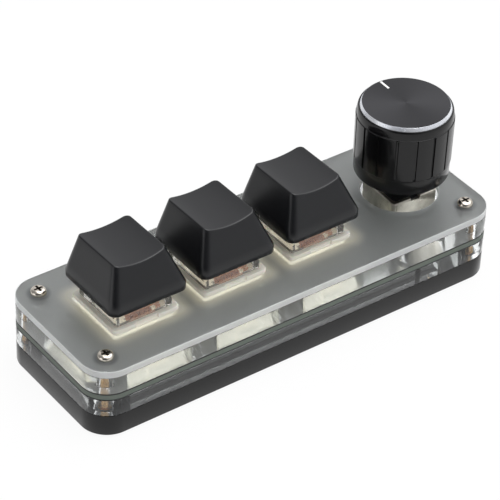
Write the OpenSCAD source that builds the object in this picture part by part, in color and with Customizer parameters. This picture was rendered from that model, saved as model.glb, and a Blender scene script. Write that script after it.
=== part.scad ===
// Desk macro keypad: a sandwich of plates, three keys and one push-and-turn knob.
// Origin at the centre of the footprint on the table, +X from the keys to the knob,
// +Y to the rear, +Z up.

/* [Case] */
// Length of every plate
case_l = 100; // [98:1:130]
// Depth of every plate
case_w = 34; // [33:1:50]
// Radius of the plate corners
corner_r = 6; // [3:0.5:8]
// Distance of each screw from the two nearest edges
screw_inset = 5; // [4.5:0.1:6]
// Thickness of the black base
base_t = 4.9; // [4.6:0.1:8]
// Thickness of the clear lower frame
lower_t = 3.9; // [3.7:0.1:6]
// Thickness of the circuit board
board_t = 1.6; // [1.2:0.1:2]
// Thickness of the clear upper frame
upper_t = 4; // [3.9:0.1:5]
// Thickness of the frosted top plate
plate_t = 1.5; // [1.3:0.1:1.8]
// Wall of the lower frame beside its pocket
frame_wall = 3; // [2.5:0.1:4]
// Length of the solid left end of the lower frame
frame_end = 8.5; // [8:0.5:12]
// Thickness of the cross wall in the lower frame
frame_rib = 1.3; // [1:0.1:3]
// Height of the rubber feet below the base
foot_out = 0.6; // [0.3:0.1:2]
// Diameter of the rubber feet
foot_d = 8; // [6:0.5:10]
// Depth of the foot pockets
foot_in = 0.6; // [0.3:0.1:0.9]

/* [Keys] */
// Centre distance of neighbouring keys
key_pitch = 21.4; // [19:0.1:22]
// Distance of the first key from the left end
first_key_in = 17.7; // [16.5:0.1:20]
// Travel of a key
key_travel = 4; // [3:0.1:4.2]
// Width of a keycap at its base
cap_w = 18.1; // [17.6:0.1:18.4]
// Height of the front edge of a keycap
cap_h = 9.2; // [8.6:0.1:10]
// Height lost from the front edge to the rear edge of a keycap
cap_drop = 0.35; // [0:0.05:0.5]
// Height of the upright skirt of a keycap
cap_skirt = 1.5; // [1:0.1:3]
// Width of the top of a keycap
cap_top_w = 12; // [11.4:0.1:13]
// Setback of the top behind the front of the base
cap_front_in = 3.9; // [3.5:0.1:4.5]
// Setback of the top before the rear of the base
cap_rear_in = 0.7; // [0.5:0.1:2]
// Depth of the hollow across the top of a keycap
cap_dish = 0.85; // [0.5:0.05:1.1]
// Corner radius at the base of a keycap
cap_r = 1.9; // [1:0.1:2.1]
// Corner radius at the top of a keycap
cap_top_r = 1.2; // [0.8:0.1:1.5]
// Corner radius inside a keycap
cap_in_r = 0.8; // [0.5:0.1:1]
// Wall of a keycap
cap_wall = 1.4; // [1:0.1:1.5]
// Gap between the plate and a keycap at rest
cap_rise = 5.5; // [5.4:0.1:6.5]

/* [Switches] */
// Width of the flange on a lower switch housing
flange_w = 15.6; // [15.2:0.1:16]
// Thickness of the flange
flange_t = 1; // [0.8:0.1:1.2]
// Width of the lower housing below the plate
housing_w = 13.9; // [13.6:0.1:14.2]
// Wall of the switch housings
housing_wall = 1.2; // [1:0.1:1.3]
// Width of the upper housing at its foot
upper_w = 13.4; // [13.2:0.1:13.8]
// Width of the upper housing at its roof
roof_w = 10.6; // [10.5:0.1:10.8]
// Height of the upper housing roof above the plate
roof_h = 6.6; // [6.5:0.1:6.8]
// Length of the cross on a key stem
cross_h = 3.6; // [3:0.1:4]
// Outer diameter of a key spring
spring_d = 4.4; // [4:0.1:4.5]
// Wire thickness of a key spring
wire_d = 0.3; // [0.2:0.05:0.35]
// Turns of a key spring
spring_turns = 7; // [5:1:8]

/* [Knob] */
// Distance of the knob axis from the right end
knob_in = 13; // [12.5:0.1:16]
// Diameter of the knob at its shoulder
knob_d = 20.6; // [20.2:0.1:24]
// Diameter of the knob at its lower edge
knob_foot_d = 20.1; // [18.5:0.1:24]
// Height of the knob
knob_h = 16.3; // [15:0.1:18]
// Gap between the encoder can and the knob
knob_gap = 4.15; // [3.6:0.05:5]
// Diameter of the bright ring round the knob cap
ring_d = 19.5; // [18.5:0.1:19.8]
// Diameter of the flat top of the knob cap
disc_d = 18.2; // [16:0.1:18.4]
// Count of grooves round the knob
groove_count = 16; // [8:1:24]
// Width of a groove
groove_w = 0.5; // [0.3:0.1:1]
// Depth of a groove
groove_in = 0.35; // [0.2:0.05:0.6]
// Height of the grip pads above the skirt and the lip
pad_out = 0.15; // [0.1:0.05:0.2]
// Travel of the knob when it is pressed
push_travel = 0.5; // [0.3:0.05:0.6]

/* [Encoder] */
// Angle in degrees that the encoder and its knob sit turned by on the board
encoder_turn = -2.3; // [-3:0.1:3]
// Width of the encoder can
can_w = 11.4; // [11.3:0.1:12]
// Depth of the encoder can
can_l = 11.4; // [11.3:0.1:12.2]
// Height of the can above the circuit board
can_h = 6.9; // [6.8:0.1:8]
// Height of the plastic encoder base
enc_base_t = 2.4; // [2.4:0.1:2.8]
// Diameter of the shaft
shaft_d = 6; // [5.8:0.1:6.2]
// Length of the shaft above the can
shaft_out = 15; // [12:0.5:16]
// Diameter of the bushing
bushing_d = 7; // [6.8:0.1:8]
// Height of the bushing above the can
bushing_out = 3.3; // [2:0.1:3.5]
// Diameter of the round hole in the top plate
hole_d = 16.5; // [16.4:0.1:19]

/* [Fasteners] */
// Thread diameter of the case screws
screw_d = 2; // [1.6:0.1:2.2]
// Head diameter of the case screws
head_d = 3.4; // [3:0.1:4]
// Head height of the case screws
head_h = 1.2; // [1:0.1:1.6]
// Length of the threaded inserts
insert_h = 3.5; // [2:0.1:3.6]
// Outer diameter of the threaded inserts
insert_d = 3.2; // [3:0.1:3.6]

/* [Socket] */
// Width of the socket shell
usb_w = 8.9; // [8.6:0.1:9.2]
// Height of the socket shell
usb_h = 3.2; // [3:0.1:3.4]
// Depth of the socket shell
usb_l = 7.3; // [6:0.1:8]
// Wall of the socket shell
usb_wall = 0.3; // [0.2:0.05:0.4]
// Distance of the socket from the knob axis
usb_shift = 13.25; // [12:0.25:16]

/* [Hidden] */

$fn = 64;
// Overrun of a cut past the face that it opens
over = 0.5;
// Clearance all round a loose piece in its pocket
fit_gap = 0.1;
// Radial clearance of a turning or sliding round fit
run_gap = 0.05;
// Clearance of a piece pressed or clipped into place
press_gap = 0.02;
// Clearance of a fixed piece beside its neighbour
seat_gap = 0.05;
// Smallest gap between moving faces that meet at rest
rest_gap = 0.05;

// Heights of the faces of the sandwich
z_base = foot_out;
z_lower = z_base + base_t;
z_board = z_lower + lower_t;
z_upper = z_board + board_t;
z_plate = z_upper + upper_t;
z_top = z_plate + plate_t;

// Material kept between a foot and its neighbours
foot_land = 1.6;

// Places along the case
first_key_x = first_key_in - case_l / 2;
knob_x = case_l / 2 - knob_in;
usb_x = knob_x - usb_shift;
screw_x = case_l / 2 - screw_inset;
screw_y = case_w / 2 - screw_inset;
foot_x = screw_x - (foot_d + insert_d) / 2 - foot_land;
foot_y = case_w / 2 - foot_d / 2 - foot_land;

// Screws and their holes
screw_gap = 0.1;
screw_short = 0.5;
lens_hole_d = 4.4;
cross_slot_w = 0.45;
cross_slot_l = 1.9;
cross_slot_in = 0.6;
head_round = 0.5;
head_crown = 0.9;
z_insert = z_lower - insert_h;
z_screw_end = z_insert + screw_short;

// Openings of the upper frame and of the plate, clips of the switches
frame_gap = 0.75;
clip_w = 4.8;
clip_out = 0.4;
clip_h = 1.3;
notch_gap = 0.2;
notch_in = 0.4;
hole_bevel = 0.2;

// Lower switch housing
housing_rise = 0.5;
floor_t = 1.2;
post_d = 3.9;
post_gap = 0.1;
post_wall = 0.4;
pole_d = 2.1;
pole_in = 0.2;
pole_end_gap = 0.1;
z_housing = z_upper + housing_rise;
z_floor = z_housing + floor_t;
z_flange = z_top + flange_t;
z_pole_end = z_floor - pole_in;
z_post_bore = z_pole_end - key_travel - pole_end_gap;
z_post_end = z_post_bore - post_wall;

// Upper switch housing and key stem
upper_foot_h = 1.6;
ceiling_t = 1.2;
slider_w = 8;
slider_l = 7.2;
slider_h = 4.2;
neck_w = 6.9;
neck_l = 5.5;
neck_gap = 0.2;
neck_out = 0.3;
cross_w = 4;
cross_t = 1.2;
cross_gap = 0.03;
spring_well_d = 5;
spring_roof = 1;
z_roof = z_top + roof_h;
z_slider_top = z_roof - ceiling_t - rest_gap;
z_slider = z_slider_top - slider_h;
z_neck = z_roof + neck_out;
z_spring_top = z_slider_top - spring_roof;

// Keycap
cap_roof = 1.5;
cap_ceiling_h = cap_h - cap_dish - cap_roof;
cap_slice = 0.02;
socket_d = 5.5;
z_cap = z_top + cap_rise;

// Board pins of a switch, from its centre, and its contacts
pin_a_x = -2.54;
pin_a_y = -5.08;
pin_b_x = 3.81;
pin_b_y = -2.54;
pin_out = 1.2;
pin_w = 0.9;
pin_t = 0.3;
pin_hole_gap = 0.3;
leaf_t = 0.2;
leaf_w = 6;
leaf_gap = 0.15;
leaf_bump_z = 3.9;
leaf_bump = 1.15;
leaf_h = 6;
riser_in = 0.3;
riser_w = 1;
riser_h = 5.2;
z_pin_end = z_board - pin_out;

// Lamp under each switch
led_y = 4.7;
led_w = 1.6;
led_l = 0.8;
led_h = 0.35;

// Encoder can, base, terminals
can_r = 0.8;
can_wall = 0.4;
can_rim = 0.9;
can_slot_w = 2.4;
can_slot_h = 0.35;
can_tab_w = 6.8;
can_leg_w = 2.1;
can_leg_gap = 0.3;
can_corner_d = 2 * (norm([can_w / 2 - can_r, can_l / 2 - can_r]) + can_r);
enc_floor = 0.5;
term_w = 0.8;
term_t = 0.3;
term_rise = 0.8;
term_bite = 1.6;
term_pitch = 2.5;
term_front_y = 7.5;
term_rear_y = 7;
tab_gap = 0.2;
frame_hole_gap = 0.6;
frame_hole_d = can_corner_d + 2 * frame_hole_gap;
z_can = z_upper + can_h;
z_enc_top = z_upper + enc_base_t;
z_arm = z_upper + term_rise;
z_tab = z_arm + term_t + tab_gap;

// Encoder dome, plunger, rotor, shaft, bushing
dome_d = 6;
dome_t = 0.12;
dome_h = 2 * push_travel;
dome_gap = 0.2;
plunger_d = 4.5;
plunger_h = 0.6;
rotor_d = 9.6;
rotor_t = 1;
rotor_hub_d = 5.6;
rotor_hub_h = 0.5;
collar_d = 6.8;
collar_t = 0.5;
key_d = 3.6;
key_flat = 2.7;
flat_in = 1.5;
flat_l = 10;
bushing_sink = 0.2;
bushing_plate_t = 1.6;
z_dome = z_upper + enc_floor;
z_plunger = z_dome + dome_h + rest_gap;
z_shaft = z_plunger + plunger_h;
z_rotor = z_enc_top + rest_gap;
z_bushing = z_can - bushing_sink - bushing_plate_t;
z_collar = z_bushing - rest_gap - collar_t;
z_shaft_top = z_can + shaft_out;

// Cut-out of the lower frame under the encoder
step_in = 1.2;
step_x = knob_x - step_in;
relief_land = 0.9;
relief_l = 2 * (screw_y - lens_hole_d / 2 - relief_land);
relief_end = 6.4;

// Knob
knob_wall = 1.6;
knob_roof = 2;
knob_shoulder = 1.5;
boss_d = 9;
boss_lift = 0.8;
bore_gap = 0.04;
shaft_end_gap = 0.2;
rib_t = 1.2;
rib_count = 6;
rib_bite = 0.2;
rib_lift = 4.5;
lip_t = 0.1;
skirt_h = 3.35;
ring_h = 0.45;
knob_cap_t = 1.2;
pointer_w = 0.7;
pointer_l = 2.9;
pointer_t = 0.2;
pointer_edge = 0.1;
z_knob = z_can + knob_gap;
z_knob_top = z_knob + knob_h;
z_shoulder = z_knob_top - ring_h - knob_shoulder;

// Socket
usb_r = 1.4;
usb_gap = 0.3;
usb_back_t = 1;
tongue_w = 6.7;
tongue_t = 0.7;
tongue_l = 5.5;

// Chips under the board
chip_x = (key_x(1) + key_x(2)) / 2;
chip_y = 2;
chip_w = 5;
chip_t = 0.9;
crystal_y = -3.5;
crystal_w = 3.2;
crystal_l = 2.5;
crystal_t = 0.8;
regulator_y = -2;
regulator_w = 2.9;
regulator_l = 1.6;
regulator_t = 1.1;
lead_pitch = 0.95;
lead_w = 0.4;
lead_l = 0.6;
lead_t = 0.15;
passive_y = 7;
passive_pitch = 1.5;
passive_w = 1;
passive_l = 0.5;
passive_t = 0.5;
passive_count = 4;
pull_x = 2.2;
pull_in = 9.3;
diode_y = -8.5;
diode_w = 1.7;
diode_l = 1.3;

// Centre of key k, counted from 0
function key_x(k) = first_key_x + k * key_pitch;

// Outline with round corners
module rounded_outline(l, w, r) {
  square([l - 2 * r, w], center = true);
  square([l, w - 2 * r], center = true);
  for (sx = [-1, 1])
    for (sy = [-1, 1])
      translate([sx * (l / 2 - r), sy * (w / 2 - r)])
        circle(r);
}

// Box on its lower face, centred in plan
module block(w, l, h, z = 0) {
  translate([-w / 2, -l / 2, z])
    cube([w, l, h]);
}

// Box with round upright edges
module round_block(w, l, r, h, z) {
  translate([0, 0, z])
    linear_extrude(h)
      rounded_outline(w, l, r);
}

// Cylinder from z to z + h
module rod(d, h, z = 0) {
  translate([0, 0, z])
    cylinder(d = d, h = h);
}

module at_keys() {
  for (k = [0:2])
    translate([key_x(k), 0, 0])
      children();
}

module at_screws() {
  for (sx = [-1, 1])
    for (sy = [-1, 1])
      translate([sx * screw_x, sy * screw_y, 0])
        children();
}

module at_feet() {
  for (sx = [-1, 1])
    for (sy = [-1, 1])
      translate([sx * foot_x, sy * foot_y, 0])
        children();
}

module at_knob() {
  translate([knob_x, 0, 0])
    rotate(encoder_turn)
      children();
}

// Encoder terminals: three in front, two behind
module at_terminals(front, rear) {
  for (i = [-1:1])
    translate([i * term_pitch, -front, 0])
      children();
  for (i = [-1, 1])
    translate([i * term_pitch, rear, 0])
      children();
}

module at_sides(x) {
  for (side = [-1, 1])
    translate([side * x, 0, 0])
      children();
}

module at_front_and_rear(y) {
  for (side = [-1, 1])
    translate([0, side * y, 0])
      children();
}

// Sandwich

module rubber_feet() {
  color("#1c1c1e")
    at_feet()
      rod(foot_d, foot_out + foot_in);
}

module base_plate() {
  color("#38393b")
    difference() {
      round_block(case_l, case_w, corner_r, base_t, z_base);
      at_screws()
        rod(insert_d + 2 * press_gap, insert_h + over, z_insert);
      at_feet()
        rod(foot_d + 2 * fit_gap, foot_in + over, z_base - over);
    }
}

module threaded_inserts() {
  color("#c9a24a")
    at_screws()
      difference() {
        rod(insert_d, insert_h, z_insert);
        rod(screw_d + 2 * press_gap, insert_h + 2 * over, z_insert - over);
      }
}

module lower_frame() {
  pocket_l = case_w - 2 * frame_wall;
  rib_end = knob_x - can_w / 2 - can_leg_gap;
  color("#d7dde0", 0.45)
    difference() {
      round_block(case_l, case_w, corner_r, lower_t, z_lower);
      frame_cut(frame_end - case_l / 2, rib_end - frame_rib, pocket_l);
      frame_cut(rib_end, step_x, pocket_l);
      frame_cut(rib_end, knob_x + relief_end, relief_l);
      at_screws()
        frame_hole(lens_hole_d, lower_t, z_lower);
      translate([usb_x, case_w / 2, 0])
        block(usb_w + 2 * usb_gap, 2 * (frame_wall + over), lower_t + 2 * over, z_lower - over);
    }
}

// Cut through the lower frame between two places along the case
module frame_cut(x_start, x_end, l) {
  translate([x_start, -l / 2, z_lower - over])
    cube([x_end - x_start, l, lower_t + 2 * over]);
}

// Round hole right through a sheet of thickness t
module frame_hole(d, t, z) {
  rod(d, t + 2 * over, z - over);
}

module circuit_board() {
  color("#6b7a70")
    difference() {
      round_block(case_l, case_w, corner_r, board_t, z_board);
      at_screws()
        frame_hole(screw_d + 2 * screw_gap, board_t, z_board);
      at_keys() {
        frame_hole(post_d + 2 * post_gap, board_t, z_board);
        translate([pin_a_x, pin_a_y, 0])
          frame_hole(pin_w + 2 * pin_hole_gap, board_t, z_board);
        translate([pin_b_x, pin_b_y, 0])
          frame_hole(pin_w + 2 * pin_hole_gap, board_t, z_board);
      }
      at_knob() {
        at_terminals(term_front_y, term_rear_y)
          frame_hole(term_w + 2 * fit_gap, board_t, z_board);
        at_sides((can_w - can_wall) / 2)
          block(can_wall + 2 * can_leg_gap, can_leg_w + 2 * can_leg_gap,
                board_t + 2 * over, z_board - over);
      }
    }
}

module upper_frame() {
  opening = housing_w + 2 * frame_gap;
  color("#e4e9ea", 0.45)
    difference() {
      round_block(case_l, case_w, corner_r, upper_t, z_upper);
      at_keys()
        block(opening, opening, upper_t + 2 * over, z_upper - over);
      at_knob()
        frame_hole(frame_hole_d, upper_t, z_upper);
      at_screws()
        frame_hole(screw_d + 2 * screw_gap, upper_t, z_upper);
    }
}

module top_plate() {
  opening = housing_w + 2 * seat_gap;
  color("#9a9d9f", 0.75)
    difference() {
      round_block(case_l, case_w, corner_r, plate_t, z_plate);
      at_keys()
        block(opening, opening, plate_t + 2 * over, z_plate - over);
      at_knob() {
        frame_hole(hole_d, plate_t, z_plate);
        translate([0, 0, z_top - hole_bevel])
          cylinder(d1 = hole_d, d2 = hole_d + 2 * (hole_bevel + over), h = hole_bevel + over);
      }
      at_screws()
        frame_hole(screw_d + 2 * screw_gap, plate_t, z_plate);
    }
}

module case_screws() {
  color("#d8d4cc")
    at_screws()
      difference() {
        union() {
          rod(screw_d, z_top - z_screw_end, z_screw_end);
          translate([0, 0, z_top])
            screw_head();
        }
        for (turn = [0, 90])
          rotate(turn)
            block(cross_slot_l, cross_slot_w, cross_slot_in + over,
                  z_top + head_h - cross_slot_in);
      }
}

// Pan head: upright edge under a shallow crown
module screw_head() {
  rotate_extrude()
    polygon(concat(
      [[0, 0], [head_d / 2, 0], [head_d / 2, head_h - head_round]],
      [for (a = [15:15:90])
        [head_d / 2 - head_crown * (1 - cos(a)), head_h - head_round + head_round * sin(a)]],
      [[0, head_h]]));
}

// Chips on the underside of the board

module under_board(x, y, t) {
  translate([x, y, z_board - t])
    children();
}

module controller_chip() {
  color("#202124")
    under_board(chip_x, chip_y, chip_t)
      block(chip_w, chip_w, chip_t);
}

module clock_crystal() {
  color("#c8c8c4")
    under_board(chip_x, crystal_y, crystal_t)
      block(crystal_w, crystal_l, crystal_t);
}

module voltage_regulator() {
  color("#202124")
    under_board(usb_x, regulator_y, regulator_t) {
      block(regulator_w, regulator_l, regulator_t);
      for (side = [-1, 1])
        for (i = [-1:1])
          translate([i * lead_pitch, side * (regulator_l + lead_l) / 2, 0])
            block(lead_w, lead_l, lead_t, regulator_t - lead_t);
    }
}

// Capacitors by the chip, pull-down resistors by the socket, a diode by each switch
module board_passives() {
  color("#b59b6a") {
    for (i = [0:passive_count - 1])
      under_board(chip_x + (i - (passive_count - 1) / 2) * passive_pitch, passive_y, passive_t)
        block(passive_w, passive_l, passive_t);
    for (side = [-1, 1])
      under_board(usb_x + side * pull_x, case_w / 2 - pull_in, passive_t)
        block(passive_w, passive_l, passive_t);
    for (k = [0:2])
      under_board(key_x(k), diode_y, passive_t)
        block(diode_w, diode_l, passive_t);
  }
}

module key_leds() {
  color("#f4f1e4")
    at_keys()
      translate([0, led_y, z_upper])
        block(led_w, led_l, led_h);
}

// Socket

module usb_shell() {
  color("#b9bcc0")
    translate([usb_x, case_w / 2, z_board - usb_h / 2])
      rotate([90, 0, 0])
        difference() {
          linear_extrude(usb_l)
            rounded_outline(usb_w, usb_h, usb_r);
          translate([0, 0, -over])
            linear_extrude(usb_l - usb_back_t + over)
              rounded_outline(usb_w - 2 * usb_wall, usb_h - 2 * usb_wall, usb_r - usb_wall);
        }
}

module usb_tongue() {
  color("#17181a")
    translate([usb_x - tongue_w / 2, case_w / 2 - usb_l + usb_back_t, 0])
      translate([0, 0, z_board - (usb_h + tongue_t) / 2])
        cube([tongue_w, tongue_l, tongue_t]);
}

// Switches

module lower_housing(k) {
  hollow = housing_w - 2 * housing_wall;
  color("#e9e6da")
    translate([key_x(k), 0, 0])
      difference() {
        union() {
          block(flange_w, flange_w, flange_t, z_top);
          block(housing_w, housing_w, z_top - z_housing, z_housing);
          rod(post_d, z_housing - z_post_end, z_post_end);
          at_front_and_rear((housing_w + clip_out) / 2)
            block(clip_w, clip_out, clip_h, z_plate - clip_h);
        }
        block(hollow, hollow, z_flange - z_floor + over, z_floor);
        rod(pole_d + 2 * run_gap, z_floor - z_post_bore + over, z_post_bore);
        at_front_and_rear((flange_w - notch_in) / 2)
          block(clip_w + 2 * notch_gap, notch_in, flange_t, z_top + notch_gap);
        pin_slot(pin_a_x, pin_a_y);
        pin_slot(pin_b_x, pin_b_y);
      }
}

// Slot in the housing floor for a board pin
module pin_slot(x, y) {
  translate([x, y, 0])
    block(pin_w + 2 * seat_gap, pin_t + 2 * seat_gap, floor_t + 2 * over, z_housing - over);
}

module upper_housing(k) {
  color("#dfe3e4", 0.5)
    translate([key_x(k), 0, 0])
      difference() {
        taper(upper_w, roof_w, z_flange, z_roof);
        taper(upper_w - 2 * housing_wall, roof_w - 2 * housing_wall,
              z_flange - cap_slice, z_roof - ceiling_t);
        block(neck_w + 2 * neck_gap, neck_l + 2 * neck_gap, ceiling_t + 2 * over,
              z_roof - ceiling_t - over);
      }
}

// Square block with an upright foot and a narrower top
module taper(w_low, w_high, z_low, z_high) {
  hull() {
    block(w_low, w_low, upper_foot_h, z_low);
    block(w_high, w_high, cap_slice, z_high - cap_slice);
  }
}

module contacts(k) {
  color("#c98a5a")
    translate([key_x(k), 0, 0]) {
      leaf_contact();
      post_contact();
    }
}

module board_pin(x, y) {
  translate([x, y, 0])
    block(pin_w, pin_t, z_floor + leaf_t - z_pin_end, z_pin_end);
}

// Springy leaf beside the stem, with its board pin
module leaf_contact() {
  y_face = -slider_l / 2 - leaf_gap;
  y_back = pin_a_y + leaf_t / 2;
  z_low = leaf_bump_z - leaf_bump;
  z_high = leaf_bump_z + leaf_bump;
  board_pin(pin_a_x, pin_a_y);
  translate([pin_a_x - pin_w / 2, 0, z_floor])
    rotate([90, 0, 90])
      linear_extrude(leaf_w)
        polygon([
          [y_back, 0], [y_back, z_low], [y_face, leaf_bump_z], [y_back, z_high], [y_back, leaf_h],
          [y_back - leaf_t, leaf_h], [y_back - leaf_t, z_high], [y_face - 2 * leaf_t, leaf_bump_z],
          [y_back - leaf_t, z_low], [y_back - leaf_t, 0]
        ]);
}

// Fixed contact beside the leaf, with its board pin
module post_contact() {
  y_riser = pin_a_y + leaf_t;
  board_pin(pin_b_x, pin_b_y);
  translate([pin_b_x - pin_w / 2, y_riser, z_floor])
    cube([pin_w, pin_b_y + pin_t / 2 - y_riser, leaf_t]);
  translate([pin_b_x - pin_w / 2 + riser_in, y_riser, z_floor])
    cube([riser_w, leaf_t, riser_h]);
}

module stem(k) {
  color("#8a5a3c")
    translate([key_x(k), 0, 0]) {
      difference() {
        block(slider_w, slider_l, slider_h, z_slider);
        rod(spring_well_d, z_spring_top - z_slider + over, z_slider - over);
      }
      rod(pole_d, z_slider_top - z_pole_end, z_pole_end);
      block(neck_w, neck_l, z_neck - z_slider_top, z_slider_top);
      for (turn = [0, 90])
        rotate(turn)
          block(cross_w, cross_t, cross_h, z_neck);
    }
}

// Coil spring: a tube of six-sided rings along a helix
wire_sides = 6;
turn_steps = 8;

function wire_ring(a, z, r_coil, r_wire) =
  [for (s = [0:wire_sides - 1])
    let (b = 360 * s / wire_sides, r = r_coil + r_wire * cos(b))
      [r * cos(a), r * sin(a), z + r_wire * sin(b)]];

// Least distance between points of one turn and points of the next
function turn_gap(points) =
  let (step = turn_steps * wire_sides, near = wire_sides)
    min([for (i = [0:len(points) - step - near - 1])
      for (j = [max(0, i + step - near):i + step + near])
        norm(points[j] - points[i])]);

module spring(k) {
  r_wire = wire_d / 2;
  r_coil = (spring_d - wire_d) / 2;
  rings = spring_turns * turn_steps;
  z_low = z_floor + r_wire + press_gap;
  z_high = z_spring_top - r_wire - press_gap;
  points = [for (i = [0:rings])
    each wire_ring(360 * i / turn_steps, z_low + (z_high - z_low) * i / rings, r_coil, r_wire)];
  sides = [for (i = [0:rings - 1])
    for (s = [0:wire_sides - 1])
      let (a = i * wire_sides + s, b = i * wire_sides + (s + 1) % wire_sides)
        each [[a, b, b + wire_sides], [a, b + wire_sides, a + wire_sides]]];
  last = rings * wire_sides;
  echo(spring = k, least_gap_between_turns = turn_gap(points));
  ends = [for (s = [1:wire_sides - 2])
    each [[0, s + 1, s], [last, last + s, last + s + 1]]];
  color("#b8bcc0")
    translate([key_x(k), 0, 0])
      polyhedron(points = points, faces = concat(sides, ends));
}

// Keycap

// Four upright corner rods of a slab between two places in depth
module cap_corners(w, y_front, y_rear, r, h) {
  for (sx = [-1, 1])
    for (y = [y_front + r, y_rear - r])
      translate([sx * (w / 2 - r), y, 0])
        cylinder(r = r, h = h, $fn = 32);
}

cap_half = cap_w / 2;
cap_tilt = atan(cap_drop / (cap_w - cap_front_in - cap_rear_in));

// Put the children on the sloping top, with its front edge as the origin in depth
module on_cap_top(z) {
  translate([0, cap_front_in - cap_half, z])
    rotate([-cap_tilt, 0, 0])
      children();
}

module cap_outside() {
  hull() {
    cap_corners(cap_w, -cap_half, cap_half, cap_r, cap_skirt);
    on_cap_top(cap_h)
      translate([0, 0, -cap_slice])
        cap_corners(cap_top_w, 0, cap_w - cap_front_in - cap_rear_in, cap_top_r, cap_slice);
  }
}

module cap_inside() {
  // Share of the taper reached at the ceiling
  share = (cap_ceiling_h - cap_skirt) / (cap_h - cap_skirt);
  half_in = cap_half - cap_wall;
  w_high = cap_w - (cap_w - cap_top_w) * share - 2 * cap_wall;
  hull() {
    translate([0, 0, -over])
      cap_corners(2 * half_in, -half_in, half_in, cap_in_r, cap_skirt + over);
    translate([0, 0, cap_ceiling_h - cap_slice])
      cap_corners(w_high, cap_front_in * share - half_in, half_in - cap_rear_in * share,
                  cap_in_r, cap_slice);
  }
}

// Hollow across the top: a cylinder that lies front to rear
module cap_hollow() {
  half = cap_top_w / 2;
  r = (half * half + cap_dish * cap_dish) / (2 * cap_dish);
  on_cap_top(cap_h - cap_dish)
    translate([0, -cap_half, r])
      rotate([-90, 0, 0])
        cylinder(r = r, h = 2 * cap_w, $fn = 160);
}

module cap(k) {
  z_seat = z_neck + rest_gap - z_cap;
  color("#3a3b3e")
    translate([key_x(k), 0, z_cap])
      difference() {
        union() {
          difference() {
            cap_outside();
            cap_inside();
            cap_hollow();
          }
          rod(socket_d, cap_ceiling_h + over - z_seat, z_seat);
        }
        for (turn = [0, 90])
          rotate(turn)
            block(cross_w + 2 * cross_gap, cross_t + 2 * cross_gap,
                  cross_h + rest_gap + over, z_seat - over);
      }
}

// Encoder

module encoder_base() {
  color("#2f8f92")
    at_knob()
      difference() {
        round_block(can_w, can_l, can_r, enc_base_t, z_upper);
        rod(dome_d + 2 * fit_gap, dome_h + dome_gap, z_dome);
        rod(plunger_d + 2 * run_gap, enc_base_t, z_dome);
        at_terminals(can_l / 2, can_l / 2)
          block(term_w + 2 * seat_gap, 2 * (term_bite + seat_gap), term_t + 2 * seat_gap,
                z_arm - seat_gap);
        at_front_and_rear(can_l / 2)
          block(can_tab_w + 2 * seat_gap, 2 * (can_wall + seat_gap), enc_base_t, z_tab - seat_gap);
        at_sides(can_w / 2)
          block(2 * (can_wall + seat_gap), can_leg_w + 2 * seat_gap, enc_base_t + 2 * over,
                z_upper - over);
      }
}

module encoder_terminals() {
  color("#d9d2c0")
    at_knob() {
      at_terminals(term_front_y, term_rear_y)
        block(term_w, term_t, z_arm + term_t - z_pin_end, z_pin_end);
      terminal_arms(-term_front_y, 0, [-1:1]);
      terminal_arms(0, term_rear_y, [-1, 1]);
    }
}

// Flat arms from inside the base to the legs in front of it or behind it
module terminal_arms(y_front, y_rear, columns) {
  y_in = can_l / 2 - term_bite;
  start = y_front < 0 ? y_front : y_in;
  end = y_front < 0 ? -y_in : y_rear;
  for (i = columns)
    translate([i * term_pitch - term_w / 2, start, z_arm])
      cube([term_w, end - start, term_t]);
}

module encoder_can() {
  color("#cfccc4")
    at_knob()
      difference() {
        union() {
          round_block(can_w, can_l, can_r, z_can - z_enc_top, z_enc_top);
          at_sides((can_w - can_wall) / 2)
            block(can_wall, can_leg_w, z_enc_top - z_pin_end, z_pin_end);
          at_front_and_rear((can_l - can_wall) / 2)
            block(can_tab_w, can_wall, z_enc_top - z_tab, z_tab);
        }
        round_block(can_w - 2 * can_wall, can_l - 2 * can_wall, can_r - can_wall,
                    z_can - can_wall - z_enc_top + over, z_enc_top - over);
        block(can_w - 2 * can_rim, can_l - 2 * can_rim, can_h, z_enc_top);
        at_front_and_rear(can_l / 2)
          block(can_slot_w, 2 * can_wall, can_slot_h + over, z_can - can_slot_h);
      }
}

module encoder_bushing() {
  plate_w = can_w - 2 * (can_wall + seat_gap);
  plate_l = can_l - 2 * (can_wall + seat_gap);
  plate_r = can_r - can_wall;
  rim_w = can_w - 2 * (can_rim + seat_gap);
  rim_l = can_l - 2 * (can_rim + seat_gap);
  color("#2a2b2d")
    at_knob()
      difference() {
        union() {
          round_block(plate_w, plate_l, plate_r, z_can - can_wall - z_bushing, z_bushing);
          block(rim_w, rim_l, z_can - bushing_sink - z_bushing, z_bushing);
          rod(bushing_d, z_can + bushing_out - z_bushing, z_bushing);
        }
        rod(shaft_d + 2 * run_gap, can_h + bushing_out, z_bushing - over);
      }
}

// Shallow snap dome that holds the plunger up
module encoder_dome() {
  steps = 6;
  color("#c9c4b4")
    at_knob()
      translate([0, 0, z_dome])
        rotate_extrude()
          polygon(concat(
            [for (i = [0:steps]) dome_point(i / steps, 0)],
            [for (i = [steps:-1:0]) dome_point(i / steps, dome_t)]));
}

// Point of the dome section at a share of the way out, raised by rise
function dome_point(share, rise) =
  [share * dome_d / 2, (dome_h - dome_t) * (1 - share * share) + rise];

// Round bar with two flats, which drives the rotor and still slides in it
module driving_bar(d, flat, h, z) {
  intersection() {
    rod(d, h, z);
    block(d + over, flat, h, z);
  }
}

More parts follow.
